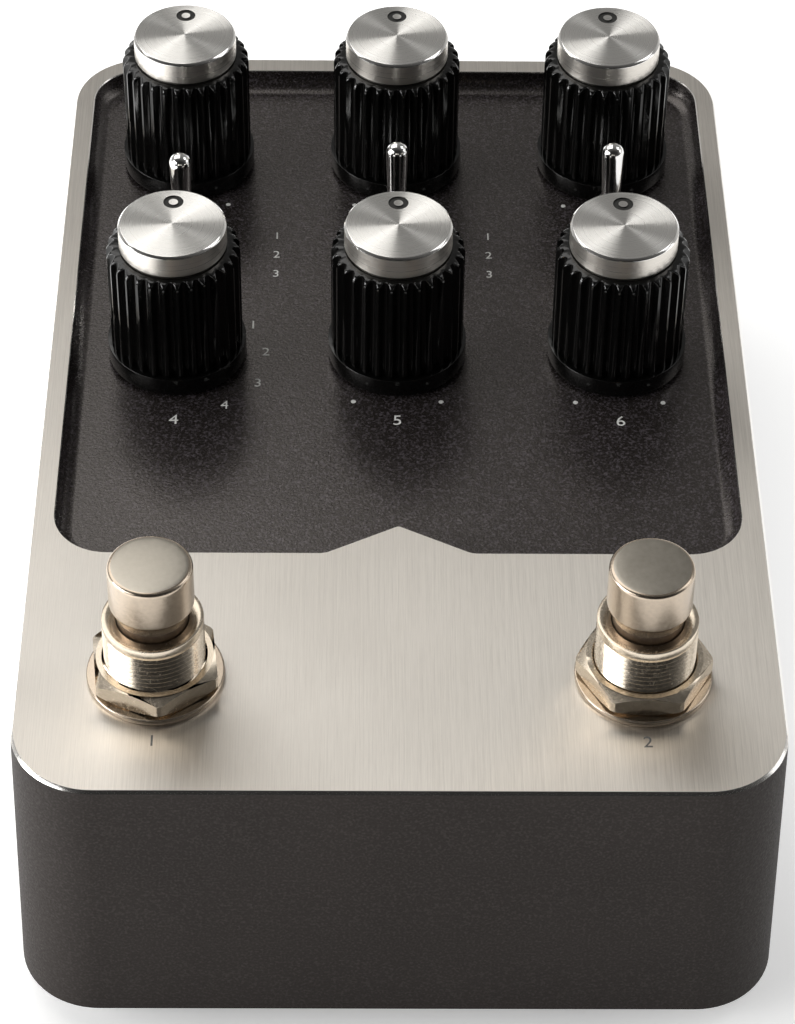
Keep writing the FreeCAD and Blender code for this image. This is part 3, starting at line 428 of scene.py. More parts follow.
LENS = light_lens()


# Shapes

def put(name, data):
    """A new object in the scene."""
    made = bpy.data.objects.new(name, data)
    bpy.context.scene.collection.objects.link(made)
    return made


def make_mesh(name, bm, materials):
    mesh = bpy.data.meshes.new(name)
    bm.to_mesh(mesh)
    bm.free()
    for material in materials:
        mesh.materials.append(material)
    return mesh


def smoothed(mesh, angle=35):
    """Smooth faces, with sharp edges where they meet at more than this many degrees."""
    for polygon in mesh.polygons:
        polygon.use_smooth = True
    mesh.set_sharp_from_angle(angle=math.radians(angle))
    return mesh


def piece(name, shape, body, materials=(), nodes=(), place=MIDDLE, turn=UPRIGHT, angle=35):
    """Puts a bmesh or a ready mesh into the scene, on its body and in place of its CAD nodes."""
    mesh = shape
    if isinstance(shape, bmesh.types.BMesh):
        bmesh.ops.recalc_face_normals(shape, faces=shape.faces)
        mesh = smoothed(make_mesh(name, shape, materials), angle)
    made = put(name, mesh)
    made.matrix_world = Matrix.Translation(place) @ turn
    weighted = made.modifiers.new("shading", "WEIGHTED_NORMAL")
    weighted.keep_sharp = True
    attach(made, body)
    if nodes:
        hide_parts(*nodes)
    return made


def circle(radius, z, count=ROUND):
    """Points round the vertical axis at a height."""
    angles = [math.tau * i / count for i in range(count)]
    return [(radius * math.cos(a), radius * math.sin(a), z) for a in angles]


def arc(radius, rise, z, degrees):
    """Profile points along an oval, at angles up from its widest level z."""
    angles = [math.radians(degree) for degree in degrees]
    return [(radius * math.cos(a), z + rise * math.sin(a)) for a in angles]


def loft(bm, rings, bands=None, caps=(0, 0), closed=False, shift=(0, 0, 0), turn=UPRIGHT):
    """Skins rings of points in millimetres.

    Bands and caps say which of the piece's materials each band and each end has. Without caps
    the ends stay open, and a closed skin joins its last ring to its first.
    """
    offset = Vector(shift)
    loops = [[bm.verts.new((turn @ Vector(point) + offset) * MM) for point in ring] for ring in rings]
    pairs = list(zip(loops, loops[1:]))
    if closed:
        pairs.append((loops[-1], loops[0]))
    for band, (lower, upper) in enumerate(pairs):
        count = max(len(lower), len(upper))
        for i in range(count):
            j = (i + 1) % count
            corners = [lower[i % len(lower)], lower[j % len(lower)],
                       upper[j % len(upper)], upper[i % len(upper)]]
            face = bm.faces.new(list(dict.fromkeys(corners)))
            face.material_index = bands[band] if bands else 0
    if caps and not closed:
        for loop, material in zip((loops[0], loops[-1]), caps):
            if len(loop) > 2:
                bm.faces.new(loop).material_index = material
    return bm


def lathe(profile, count=ROUND, closed=False, bands=None, bm=None, shift=(0, 0, 0), turn=UPRIGHT):
    """Turns points (radius, height) round the vertical axis."""
    rings = [circle(radius, z, count) if radius > 0 else [(0, 0, z)] for radius, z in profile]
    return loft(bm or bmesh.new(), rings, bands, closed=closed, shift=shift, turn=turn)


def eased(points, ease=0.15, closed=False):
    """Rounds a profile's corners, each by its own third number or by the common one."""
    made = []
    for i, point in enumerate(points):
        here = Vector(point[:2])
        size = point[2] if len(point) > 2 else ease
        inner = closed or 0 < i < len(points) - 1
        if not inner or size <= 0:
            made.append(tuple(here))
            continue
        back = Vector(points[i - 1][:2]) - here
        ahead = Vector(points[(i + 1) % len(points)][:2]) - here
        cut = min(size, back.length * 0.45, ahead.length * 0.45)
        start = here + back.normalized() * cut
        end = here + ahead.normalized() * cut
        for k in range(EASE_STEPS + 1):
            t = k / EASE_STEPS
            made.append(tuple(start * (1 - t) ** 2 + here * 2 * t * (1 - t) + end * t ** 2))
    return made


def outline(corners, radii, z, inset=0.0, steps=12):
    """A closed outline with round corners at a height, drawn inwards by an inset."""
    ring = []
    for i, radius in enumerate(radii):
        corner = Vector(corners[i])
        back = (Vector(corners[i - 1]) - corner).normalized()
        ahead = (Vector(corners[(i + 1) % len(corners)]) - corner).normalized()
        half = back.angle(ahead) / 2
        run = radius / math.tan(half)
        centre = corner + (back + ahead).normalized() * (radius / math.sin(half))
        convex = ahead.cross(back) > 0
        reach = radius - inset if convex else radius + inset
        start = (corner + back * run - centre).normalized()
        end = (corner + ahead * run - centre).normalized()
        for k in range(steps + 1):
            point = centre + start.slerp(end, k / steps) * reach
            ring.append((point.x, point.y, z))
    return ring


def box_corners(x0, x1, y0, y1):
    return [(x0, y0), (x1, y0), (x1, y1), (x0, y1)]


def slot_points(width, height, count=24):
    """An oblong opening with half round ends, as points (x, y)."""
    radius = height / 2
    points = []
    for side in (1, -1):
        for i in range(count + 1):
            angle = -math.pi / 2 + math.pi * i / count
            x = width / 2 - radius + radius * math.cos(angle)
            points.append((side * x, side * radius * math.sin(angle)))
    return points


def solid(name, bm, materials):
    """A loose object for the cuts."""
    bmesh.ops.recalc_face_normals(bm, faces=bm.faces)
    return put(name, make_mesh(name, bm, materials))


def cut_away(body, cutters):
    """The body's mesh with the cutters taken out of it, one after the other."""
    for cutter in cutters:
        modifier = body.modifiers.new(cutter.name, "BOOLEAN")
        modifier.operation = "DIFFERENCE"
        modifier.solver = "EXACT"
        modifier.object = cutter
    bpy.context.view_layer.update()
    ready = body.evaluated_get(bpy.context.evaluated_depsgraph_get())
    mesh = bpy.data.meshes.new_from_object(ready)
    for made in [body] + cutters:
        bpy.data.objects.remove(made)
    return mesh


def centre_of(node):
    """The middle of a CAD node's box: x, y and z in millimetres."""
    low, high = (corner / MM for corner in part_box(node))
    return [(start + end) / 2 for start, end in zip(low, high)]


# Enclosure

# The shell's finishes, and each one's place in that list
SHELL_FINISHES = [SIDE_COAT, BRUSHED, BRIGHT, DECK_COAT]
ON_SIDE, ON_TOP, ON_EDGE, ON_DECK = range(4)


def shell_ring(z, inset=0.0):
    spread = (SHELL_TOP - z) * DRAFT
    side = HALF_WIDTH + spread
    corners = box_corners(-side, side, -HALF_LENGTH - spread, HALF_LENGTH)
    return outline(corners, [CORNER_RADIUS] * 4, z, inset, 16)


def deck_ring(z, inset=0.0):
    """The sunken deck's outline, with the pointed notch in its front edge."""
    corners = [(-DECK_SIDE, DECK_FRONT), (-NOTCH_HALF, DECK_FRONT), (0, DECK_FRONT + NOTCH_DEPTH),
               (NOTCH_HALF, DECK_FRONT), (DECK_SIDE, DECK_FRONT), (DECK_SIDE, DECK_REAR),
               (-DECK_SIDE, DECK_REAR)]
    radii = [DECK_CORNER, NOTCH_CORNER, NOTCH_TIP, NOTCH_CORNER] + [DECK_CORNER] * 3
    return outline(corners, radii, z, inset, 14)


def shell_blank():
    """The shell before its cuts, with a small bevel below and a rounded bright edge above."""
    rings = [shell_ring(SHELL_BOTTOM, FOOT_EDGE), shell_ring(SHELL_BOTTOM + FOOT_EDGE),
             shell_ring(SHELL_TOP - EDGE), shell_ring(SHELL_TOP - EDGE_DROP, EDGE_INSET),
             shell_ring(SHELL_TOP, EDGE)]
    bm = loft(bmesh.new(), rings, [ON_SIDE, ON_SIDE, ON_EDGE, ON_EDGE], (ON_SIDE, ON_TOP))
    return solid("shell_blank", bm, SHELL_FINISHES)


def deck_cut():
    """What is cut out over the deck: a round cove at its foot and a fine bright rim above."""
    rings = []
    for k in range(COVE_STEPS + 1):
        angle = math.radians(90 * k / COVE_STEPS)
        rings.append(deck_ring(DECK_TOP + COVE * (1 - math.cos(angle)), COVE * (1 - math.sin(angle))))
    rings += [deck_ring(SHELL_TOP - RIM_EDGE), deck_ring(SHELL_TOP, -RIM_EDGE),
              deck_ring(SHELL_TOP + OVERRUN, -RIM_EDGE)]
    bands = [ON_DECK] * (COVE_STEPS + 1) + [ON_EDGE, ON_DECK]
    return solid("deck_cut", loft(bmesh.new(), rings, bands, (ON_DECK, ON_DECK)), SHELL_FINISHES)


def cut_from_below(name, side, front, rear, radius, top):
    """A cutter with round corners, from under the shell up to a level."""
    corners = box_corners(-side, side, front, rear)
    rings = [outline(corners, [radius] * 4, z) for z in (SHELL_BOTTOM - OVERRUN, top)]
    return solid(name, loft(bmesh.new(), rings), SHELL_FINISHES)


def rear_hole(bm, points, x, z):
    """Adds a cutter through the rear wall, from the x and y of each point."""
    depths = (HALF_LENGTH - WALL - OVERRUN, HALF_LENGTH + OVERRUN)
    rings = [[(point[0], point[1], depth) for point in points] for depth in depths]
    loft(bm, rings, shift=(x, 0, z), turn=REAR)


def holes():
    """One cutter for every round hole in the top and every opening in the rear."""
    bm = bmesh.new()
    tops = [(KNOB_HOLE, x, y) for y in KNOB_ROWS.values() for x in COLUMNS.values()]
    tops += [(TOGGLE_HOLE, x, TOGGLES_Y) for x in COLUMNS.values()]
    tops += [(SWITCH_HOLE, COLUMNS[side], FOOTSWITCH_Y) for side in SIDES]
    tops += [(LIGHT_HOLE, COLUMNS[side], LIGHTS_Y) for side in SIDES]
    for radius, x, y in tops:
        rings = [circle(radius, z, 48) for z in (DECK_UNDER - OVERRUN, SHELL_TOP + OVERRUN)]
        loft(bm, rings, shift=(x, y, 0))
    for x, z in JACK_PLACES:
        rear_hole(bm, circle(JACK_HOLE, 0, 64), x, z)
    half_width, half_height = INLET_WIDTH / 2, INLET_HEIGHT / 2
    inlet = box_corners(-half_width, half_width, -half_height, half_height)
    _, _, inlet_z = centre_of("power_inlet")
    rear_hole(bm, inlet, 0.0, inlet_z)
    socket_x, _, socket_z = centre_of("data_socket_shell")
    rear_hole(bm, slot_points(SOCKET_WIDTH, SOCKET_HEIGHT), socket_x, socket_z)
    button_x, _, button_z = centre_of("pair_button")
    rear_hole(bm, circle(BUTTON_HOLE, 0, 40), button_x, button_z)
    return solid("holes", bm, SHELL_FINISHES)


def enclosure():
    """The shell: bare brushed top, coated sides and deck, and every hole through it."""
    side, rear = HALF_WIDTH - WALL, HALF_LENGTH - WALL
    spread = (SHELL_TOP - SHELL_BOTTOM) * DRAFT
    inner = CORNER_RADIUS - WALL
    cutters = [
        deck_cut(),
        cut_from_below("hollow_low", side, -rear, rear, inner, DECK_UNDER),
        cut_from_below("hollow_high", side, -rear, ROOF_STEP, inner, FRONT_UNDER),
        cut_from_below("rebate", HALF_WIDTH + spread - PLATE_LIP, -HALF_LENGTH - spread + PLATE_LIP,
                       HALF_LENGTH - PLATE_LIP, CORNER_RADIUS - PLATE_LIP, SHELL_BOTTOM + PLATE_THICKNESS),
        holes(),
    ]
    mesh = smoothed(cut_away(shell_blank(), cutters))
    piece("enclosure_shell", mesh, "pedal", nodes=["enclosure"])


# Controls

def fluted_ring(z, skirt_top, top):
    """One level of the grip, whose flutes run out into a rounded shoulder."""
    share = (z - skirt_top) / (top - skirt_top)
    radius = GRIP_FOOT + (GRIP_HEAD - GRIP_FOOT) * share
    over = max(0.0, (z - (top - SHOULDER)) / SHOULDER)
    limit = GRIP_HEAD + NUDGE - SHOULDER * (1 - math.sqrt(max(0.0, 1 - over ** 2)))
    ring = []
    for i in range(GRIP_POINTS):
        across = (i % FLUTE_POINTS) / FLUTE_POINTS - 0.5
        cut = GROOVE * max(0.0, 1 - (abs(across) / GROOVE_HALF) ** 2) ** GROOVE_POWER
        reach = min(radius - cut, limit)
        angle = math.tau * (i / GRIP_POINTS)
        ring.append((reach * math.cos(angle), reach * math.sin(angle), z))
    return ring


def grip_mesh(deck):
    """Fluted grip on a plain skirt, hollow below, with a blind bore for the shaft."""
    foot, top = ((corner.z - deck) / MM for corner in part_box("knob_body_front_left"))
    skirt_top = foot + SKIRT_HEIGHT
    skirt_foot = (SKIRT_RADIUS - 0.25, foot)
    skirt = eased([skirt_foot, (SKIRT_RADIUS, foot + 0.3), (SKIRT_RADIUS, skirt_top), (GRIP_FOOT, skirt_top)])
    straight = top - SHOULDER - skirt_top
    heights = [skirt_top, skirt_top + NUDGE] + [skirt_top + NUDGE + straight * k / 10 for k in range(1, 11)]
    heights += [top - SHOULDER + SHOULDER * k / 12 for k in range(1, 13)]
    outside = [circle(radius, z, GRIP_POINTS) for radius, z in skirt[:-1]]
    outside += [fluted_ring(z, skirt_top, top) for z in heights]
    outside += [circle(GRIP_RIM, top, GRIP_POINTS), [(0, 0, top)]]
    roof = top - KNOB_ROOF
    hollow = [skirt_foot, (KNOB_WELL_RADIUS, foot), (KNOB_WELL_RADIUS, KNOB_WELL_TOP),
              (KNOB_BORE_RADIUS, KNOB_WELL_TOP), (KNOB_BORE_RADIUS, roof)]
    inside = [circle(radius, z, GRIP_POINTS) for radius, z in hollow] + [[(0, 0, roof)]]
    bm = loft(bmesh.new(), outside, caps=None)
    loft(bm, inside, caps=None)
    bmesh.ops.remove_doubles(bm, verts=bm.verts, dist=1e-6)
    return bm


def cap_mesh(deck):
    """Spun cap with a bright cut edge and a round sunken mark."""
    foot, top = ((corner.z - deck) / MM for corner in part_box("knob_cap_front_left"))
    finishes = [SPUN, SPUN_SIDE, CUT_EDGE, MARK]
    profile = [(0, foot), (6.7, foot), (6.7, foot + 0.22), (CAP_RADIUS, foot + 0.3)]
    profile += [(CAP_RADIUS, top - 0.36), (6.94, top - 0.31), (6.67, top - 0.02), (6.62, top), (0, top)]
    body = solid("cap_blank", lathe(profile, bands=[1, 1, 1, 1, 2, 2, 2, 0]), finishes)
    low, high = top - MARK_DEPTH, top + OVERRUN
    section = [(MARK_INNER, low), (MARK_OUTER, low), (MARK_OUTER, high), (MARK_INNER, high)]
    ring = lathe(section, 48, True, [3] * 4, shift=(0, MARK_OFFSET, 0))
    return smoothed(cut_away(body, [solid("mark_cut", ring, finishes)]), 30)


def knobs():
    """Grips and caps, whose two meshes are made once and shared."""
    deck = JOINTS["knob_front_left_turn"]["pos_m"][2]
    grip = grip_mesh(deck)
    cap = cap_mesh(deck)
    for row, y in KNOB_ROWS.items():
        for column, x in COLUMNS.items():
            name = f"{row}_{column}"
            place = at(x, y, deck / MM)
            grip = piece(f"grip_{name}", grip, f"knob_{name}", [KNOB_BLACK],
                         [f"knob_body_{name}"], place, angle=50).data
            piece(f"cap_{name}", cap, f"knob_{name}", nodes=[f"knob_cap_{name}"], place=place)


def nut_mesh(bm, form, height, turn, shift, bevel=0.5, rear=UPRIGHT):
    """A hexagonal nut whose corners are cut to a cone above and below."""
    flats, hole = form
    inner = flats / 2 * NUT_FACE
    low, high = [], []
    for i in range(ROUND):
        angle = turn + math.tau * (i + 0.5) / ROUND
        reach = flats / 2 / math.cos((angle - turn + math.pi / 6) % (math.pi / 3) - math.pi / 6)
        drop = max(0.0, (reach - inner) * bevel)
        x, y = reach * math.cos(angle), reach * math.sin(angle)
        low.append((x, y, drop))
        high.append((x, y, height - drop))
    rings = [circle(hole, 0.15), circle(hole + 0.25, 0), circle(inner, 0), low,
             high, circle(inner, height), circle(hole + 0.25, height), circle(hole, height - 0.2)]
    loft(bm, rings, closed=True, shift=shift, turn=rear)


def threads(radius, low, high, form):
    """Profile points of thread ridges with a narrow crest, from low to high."""
    pitch, depth = form
    turns = int((high - low) / pitch)
    points = []
    for i in range(turns):
        z = low + i * pitch
        points += [(radius - depth * inwards, z + pitch * rise) for inwards, rise in RIDGE]
    points.append((radius - depth, low + turns * pitch))
    return points


def toggle_seats(pivot):
    """The toggles' threaded bushes, each with its nut on the deck."""
    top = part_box("toggle_bushings")[1].z / MM
    profile = [(2.0, DECK_UNDER), (3.0, DECK_UNDER), (3.0, DECK_TOP)]
    profile += threads(TOGGLE_BUSH, DECK_TOP, top - 0.75, TOGGLE_THREAD)
    profile += [(2.85, top - 0.6), (3.1, top - 0.5), (3.1, top - 0.15), (2.95, top), (2.85, top)]
    profile += [(2.62, top - 0.15), (2.0, pivot + TOGGLE_BALL)]
    bushes, nuts = bmesh.new(), bmesh.new()
    for x in COLUMNS.values():
        lathe(profile, 64, True, bm=bushes, shift=(x, TOGGLES_Y, 0))
        # The place turns each nut another way
        turn = math.radians(18 + x)
        nut_mesh(nuts, TOGGLE_NUT, TOGGLE_NUT_HEIGHT, turn, (x, TOGGLES_Y, DECK_TOP))
    piece("toggle_bushes", bushes, "pedal", [CHROME], ["toggle_bushings"])
    piece("toggle_nuts", nuts, "pedal", [CHROME], angle=25)


def toggles():
    """Bat levers on balls that sit in the bushes."""
    pivot = JOINTS["toggle_left_throw"]["pos_m"][2] / MM
    toggle_seats(pivot)
    ball = [(0, -TOGGLE_BALL)] + arc(TOGGLE_BALL, TOGGLE_BALL, 0.0, range(-80, 51, 10))
    bat = [(1.12, 1.75), (1.12, 3.5), (1.14, 5.0), (1.2, 7.5), (1.3, 10.5), (1.4, 13.2), (1.46, 15.2)]
    tip = arc(TOGGLE_TIP, TOGGLE_TIP, TOGGLE_REACH - TOGGLE_TIP, range(0, 90, 10)) + [(0, TOGGLE_REACH)]
    lever = lathe(ball + bat + tip, 48)
    for column, x in COLUMNS.items():
        lean = Matrix.Rotation(math.radians(TOGGLE_LEANS[column]), 4, "X")
        lever = piece(f"lever_{column}", lever, f"toggle_{column}", [CHROME],
                      [f"toggle_lever_{column}"], at(x, TOGGLES_Y, pivot), lean, 60).data


def plungers(neck_foot, bush_top):
    """Domed footswitch caps on their necks and stems."""
    low, high = (corner.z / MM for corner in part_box("footswitch_plunger_left"))
    under = bush_top + CAP_LIFT
    neck = [(0, low), (SWITCH_STEM, low), (SWITCH_STEM, neck_foot), (4.0, neck_foot),
            (SWITCH_NECK, neck_foot + 0.2), (SWITCH_NECK, bush_top + 0.9)]
    cap = [(SWITCH_NECK, under - 0.15), (4.24, under - 0.04), (4.34, under), (4.5, under + 0.02),
           (4.72, under + 0.12), (4.9, under + 0.32), (4.98, under + 0.55), (5.0, under + 0.8)]
    cap += [(5.0, high - 0.75), (4.97, high - 0.5), (4.88, high - 0.32), (4.73, high - 0.2),
            (4.5, high - 0.14)]
    dome = [(4.1, high - 0.10), (3.0, high - 0.05), (1.5, high - 0.01), (0, high)]
    # The neck takes the dark nickel as painted shade under the cap; the cap's side takes nickel and its dome worn
    # nickel
    bands = [2] * (len(neck) - 1) + [0] * len(cap) + [1] * len(dome)
    shape = lathe(neck + cap + dome, bands=bands)
    for side in SIDES:
        shape = piece(f"plunger_{side}", shape, f"footswitch_{side}",
                      [NICKEL, NICKEL_TOP, PAINTED_SHADE_NICKEL], [f"footswitch_plunger_{side}"],
                      at(COLUMNS[side], FOOTSWITCH_Y, 0), angle=40).data


def footswitches():
    """Caps in threaded bushes, with nut and washer on the top face."""
    low, top = (corner.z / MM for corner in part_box("footswitch_bushings"))
    neck_foot = top - SWITCH_GUIDE
    plungers(neck_foot, top)
    well_floor = neck_foot - SWITCH_TRAVEL - SPRING_ROOM
    bush = [(2.6, low), (SWITCH_BUSH, low)] + threads(SWITCH_BUSH, low + 0.3, top - 1.2, SWITCH_THREAD)
    bush += [(5.88, top - 1.1), (5.97, top - 1.0), (5.98, top - 0.16), (5.93, top - 0.05)]
    bush += [(5.82, top), (5.5, top), (5.2, top - 0.04), (4.45, top - 0.2)]
    bush += [(4.32, top - 0.28), (SWITCH_WELL, top - 0.4), (SWITCH_WELL, well_floor), (2.6, well_floor)]
    washer_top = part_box("footswitch_washers")[1].z / MM
    nut_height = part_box("footswitch_nuts")[1].z / MM - washer_top
    section = [(SWITCH_HOLE, SHELL_TOP), (SWITCH_WASHER, SHELL_TOP), (SWITCH_WASHER, washer_top),
               (SWITCH_HOLE, washer_top)]
    washer = eased(section, 0.2, True)
    bushes, nuts, washers = bmesh.new(), bmesh.new(), bmesh.new()
    for side in SIDES:
        x = COLUMNS[side]
        turn = math.radians(SWITCH_NUT_TURNS[side])
        lathe(bush, closed=True, bm=bushes, shift=(x, FOOTSWITCH_Y, 0))
        nut_mesh(nuts, SWITCH_NUT, nut_height, turn, (x, FOOTSWITCH_Y, washer_top), bevel=0.55)
        lathe(washer, closed=True, bm=washers, shift=(x, FOOTSWITCH_Y, 0))
    piece("switch_bushes", bushes, "pedal", [THREADED], ["footswitch_bushings"])
    piece("switch_nuts", nuts, "pedal", [THREADED], ["footswitch_nuts"], angle=20)
    piece("switch_washers", washers, "pedal", [NICKEL], ["footswitch_washers"])


def coil_rings(radius, low, length, steps=48, around=10):
    """Rings of points round a wire that winds upwards."""
    section = [math.tau * k / around for k in range(around)]
    section = [(radius + SPRING_WIRE * math.cos(a), SPRING_WIRE * math.sin(a)) for a in section]
    rings = []
    for i in range(SPRING_TURNS * steps + 1):
        x, y = math.cos(math.tau * i / steps), math.sin(math.tau * i / steps)
        z = low + SPRING_WIRE + (length - 2 * SPRING_WIRE) * i / (SPRING_TURNS * steps)
        rings.append([(reach * x, reach * y, z + rise) for reach, rise in section])
    return rings


def springs():
    """Return springs of round wire, coiled at the length of their CAD nodes."""
    for side in SIDES:
        low, high = (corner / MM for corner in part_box(f"footswitch_spring_{side}"))
        length = high.z - low.z
        rings = coil_rings((high.x - low.x) / 2 - SPRING_WIRE, low.z, length)
        made = piece(f"spring_coil_{side}", loft(bmesh.new(), rings), "pedal", [STEEL],
                     [f"footswitch_spring_{side}"], at(COLUMNS[side], FOOTSWITCH_Y, 0))
        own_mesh(made)


def status_lights():
    """Clear rods whose round heads stand out of the top."""
    low, high = (corner.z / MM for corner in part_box("status_lights"))
    profile = [(0, low), (LIGHT_RADIUS, low), (LIGHT_RADIUS, SHELL_TOP)]
    profile += arc(LIGHT_RADIUS, high - SHELL_TOP, SHELL_TOP, range(15, 90, 15)) + [(0, high)]
    bm = bmesh.new()
    for side in SIDES:
        lathe(profile, 48, bm=bm, shift=(COLUMNS[side], LIGHTS_Y, 0))
    piece("light_rods", bm, "pedal", [LENS], ["status_lights"], angle=50)


# Rear and underside

def jack_parts():
    """Nuts on the jack noses, and the thread that stands out of each nut."""
    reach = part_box("jack_housings")[1].y / MM - MIDDLE_Y
    nut_low, nut_high = (corner.y / MM - MIDDLE_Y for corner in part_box("jack_nuts"))
    place = REAR @ Matrix.Translation((0, 0, nut_low))
    sleeve = [(JACK_NOSE, nut_high - 0.4)] + threads(JACK_RIDGES, nut_high - 0.4, reach - 0.25, JACK_THREAD)
    sleeve += [(4.84, reach - 0.12), (4.74, reach - 0.02), (JACK_NOSE, reach - 0.02)]
    sleeves, nuts = bmesh.new(), bmesh.new()
    for x, z in JACK_PLACES:
        lathe(sleeve, 72, True, bm=sleeves, shift=(x, 0, z), turn=REAR)
        nut_mesh(nuts, JACK_NUT, nut_high - nut_low, math.radians(17 * x), (x, 0, z), rear=place)
    piece("jack_threads", sleeves, "pedal", [THREADED])
    piece("jack_nuts_bevelled", nuts, "pedal", [NICKEL], ["jack_nuts"], angle=20)


def button():
    """The pairing button's cap, with a flange behind the wall."""
    low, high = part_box("pair_button")
    centre = (low + high) / 2
    start, end = low.y / MM - MIDDLE_Y, high.y / MM - MIDDLE_Y
    profile = [(0, start), (2.2, start), (2.2, start + 0.8), (1.5, start + 0.8)]
    profile += [(1.5, end - 0.3), (1.44, end - 0.12), (1.3, end), (0, end)]
    bm = lathe(profile, 48, shift=(centre.x / MM, 0, centre.z / MM), turn=REAR)
    piece("pair_button_cap", bm, "pair_button", [PLASTIC], ["pair_button"])


def feet():
    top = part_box("rubber_feet")[1].z / MM
    profile = eased([(0, 0, 0), (6.1, 0, 0.6), (6.5, top, 0.2), (0, top, 0)])
    bm = bmesh.new()
    for x in (-FOOT_X, FOOT_X):
        for y in (-FOOT_Y, FOOT_Y):
            lathe(profile, 64, bm=bm, shift=(x, y, 0))
    piece("rubber_pads", bm, "pedal", [RUBBER], ["rubber_feet"])


def plate_screws():
    """Round heads with hexagonal sockets, under the base plate."""
    count = 48
    angles = [math.tau * i / count for i in range(count)]
    reaches = [SCREW_SOCKET / math.cos(angle % (math.pi / 3) - math.pi / 6) for angle in angles]
    hexagon = [(reach * math.cos(a), reach * math.sin(a)) for reach, a in zip(reaches, angles)]
    head = ((2.75, SHELL_BOTTOM), (2.75, 2.7), (2.6, 2.4), (2.25, SCREW_FACE))
    rings = [circle(radius, z, count) for radius, z in head]
    rings += [[(x, y, z) for x, y in hexagon] for z in (SCREW_FACE, SCREW_FLOOR)]
    rings.append([(0, 0, SCREW_FLOOR)])
    bm = bmesh.new()
    for x in SCREW_COLUMNS:
        for y in SCREW_ROWS:
            loft(bm, rings, shift=(x, y, 0))
    piece("plate_screws", bm, "pedal", [STEEL], angle=40)


# Prints

def number(name, text, x, y, z, size, material=PRINT_LIGHT):
    """Thin printed figures, centred on a place."""
    curve = bpy.data.curves.new(name, "FONT")
    curve.body = text
    curve.size = size * MM
    curve.align_x = "CENTER"
    curve.align_y = "CENTER"
    curve.extrude = PRINT_EXTRUDE * MM
    flat = put(name + "_line", curve)
    bpy.context.view_layer.update()
    mesh = bpy.data.meshes.new_from_object(flat.evaluated_get(bpy.context.evaluated_depsgraph_get()))
    bpy.data.objects.remove(flat)
    mesh.materials.clear()
    mesh.materials.append(material)
    made = put(name, mesh)
    made.location = at(x, y, z + PRINT_LIFT)
    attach(made, "pedal")


def end_dots():
    """Dots at both ends of each control's turn, but for the one that has step numbers."""
    profile = [(0, 0), (DOT_RADIUS, 0), (DOT_RADIUS, DOT_HEIGHT), (0, DOT_HEIGHT)]
    bm = bmesh.new()
    ends = [(x, y) for y in KNOB_ROWS.values() for x in COLUMNS.values()]
    ends.remove((COLUMNS["left"], KNOB_ROWS["front"]))
    for x, y in ends:
        for offset in (-DOT_X, DOT_X):
            place = (x + offset, y - DOT_Y, DECK_TOP)
            lathe(profile, 24, bm=bm, shift=place)
    piece("end_dots", bm, "pedal", [PRINT_LIGHT])


def prints():
    """Plain numbers and dots printed beside the controls."""
    places = [(x, y - KNOB_NUMBER_Y) for y in KNOB_ROWS.values() for x in COLUMNS.values()]
    for i, (x, y) in enumerate(places, 1):
        number(f"knob_number_{i}", str(i), x, y, DECK_TOP, FIGURES["knob"])
    for column, x in COLUMNS.items():
        for i in range(3):
            y = TOGGLES_Y + TOGGLE_NUMBER_Y - TOGGLE_NUMBER_STEP * i
            name = f"toggle_number_{column}_{i + 1}"
            number(name, str(i + 1), x + TOGGLE_NUMBER_X, y, DECK_TOP, FIGURES["toggle"])
    for i, (x, y) in enumerate(STEP_NUMBERS, 1):
        number(f"step_number_{i}", str(i), x, y, DECK_TOP, FIGURES["step"])
    end_dots()
    for i, side in enumerate(SIDES, 1):
        name = f"footswitch_number_{side}"
        size = FIGURES["footswitch"]
        number(name, str(i), COLUMNS[side], FOOTSWITCH_NUMBER_Y, SHELL_TOP, size, PRINT_DARK)


# CAD pieces that are shown as they are
PLAIN = {
    "base_plate": PLATE_COAT,
    "pot_housings": TIN,
    "toggle_housings": BLUE_PLASTIC,
    "footswitch_housings": BLUE_PLASTIC,
    "control_board": BOARD,
    "main_board": BOARD,
    "board_spacers": BRASS,
    "board_connector": PLASTIC,
    "board_components": PLASTIC,
    "jack_housings": PLASTIC,
    "jack_contacts": BRASS,
    "power_inlet": PLASTIC,
    "power_inlet_pin": BRASS,
    "data_socket_shell": STEEL,
    "data_socket_tongue": PLASTIC,
    "pair_switch": PLASTIC,
}


def colour_plain_pieces():
    """Gives the CAD pieces of the list, and the control shafts, their materials."""
    shafts = {node: STEEL for node in frame["nodes"] if node.startswith("pot_shaft")}
    for node, material in {**PLAIN, **shafts}.items():
        mesh = frame["nodes"][node].data
        mesh.materials.clear()
        mesh.materials.append(material)


# Floor, light and camera, in metres

def floor_paper():
    """White paper that glows as painted light: less so at the pedal's front, as painted shade, and more on its
    left, as painted light from that side.
    """
    material = finish("floor_paper", (0.90, 0.90, 0.895), (0.94, 0.94, 0.935), (0.85, 0.95), 1.5,
                      Emission_Color=(1, 1, 1, 1))
    tree = material.node_tree
    place = add(tree, "TexCoord").outputs["Object"]
    # Painted shade and light: dimmer in an oval round the pedal's front, and brighter towards the left
    oval = add(tree, "Mapping", {"Vector": place, "Location": (0, 1.2, 0), "Scale": (13.0, 16.0, 1.0)})
    reach = add(tree, "VectorMath", {0: oval.outputs["Vector"]}, operation="LENGTH").outputs["Value"]
    left = remap(tree, add(tree, "SeparateXYZ", {"Vector": place}).outputs["X"], 0.6, 0.0, -0.13, -0.04)
    glow = total(tree, remap(tree, reach, 0.3, 0.64, 0.3, 1.1), left)
    tree.links.new(glow, tree.nodes["Principled BSDF"].inputs["Emission Strength"])
    return material


def floor():
    bm = bmesh.new()
    bmesh.ops.create_grid(bm, x_segments=FLOOR_CELLS, y_segments=FLOOR_CELLS, size=FLOOR_HALF)
    put("floor", make_mesh("floor", bm, [floor_paper()]))


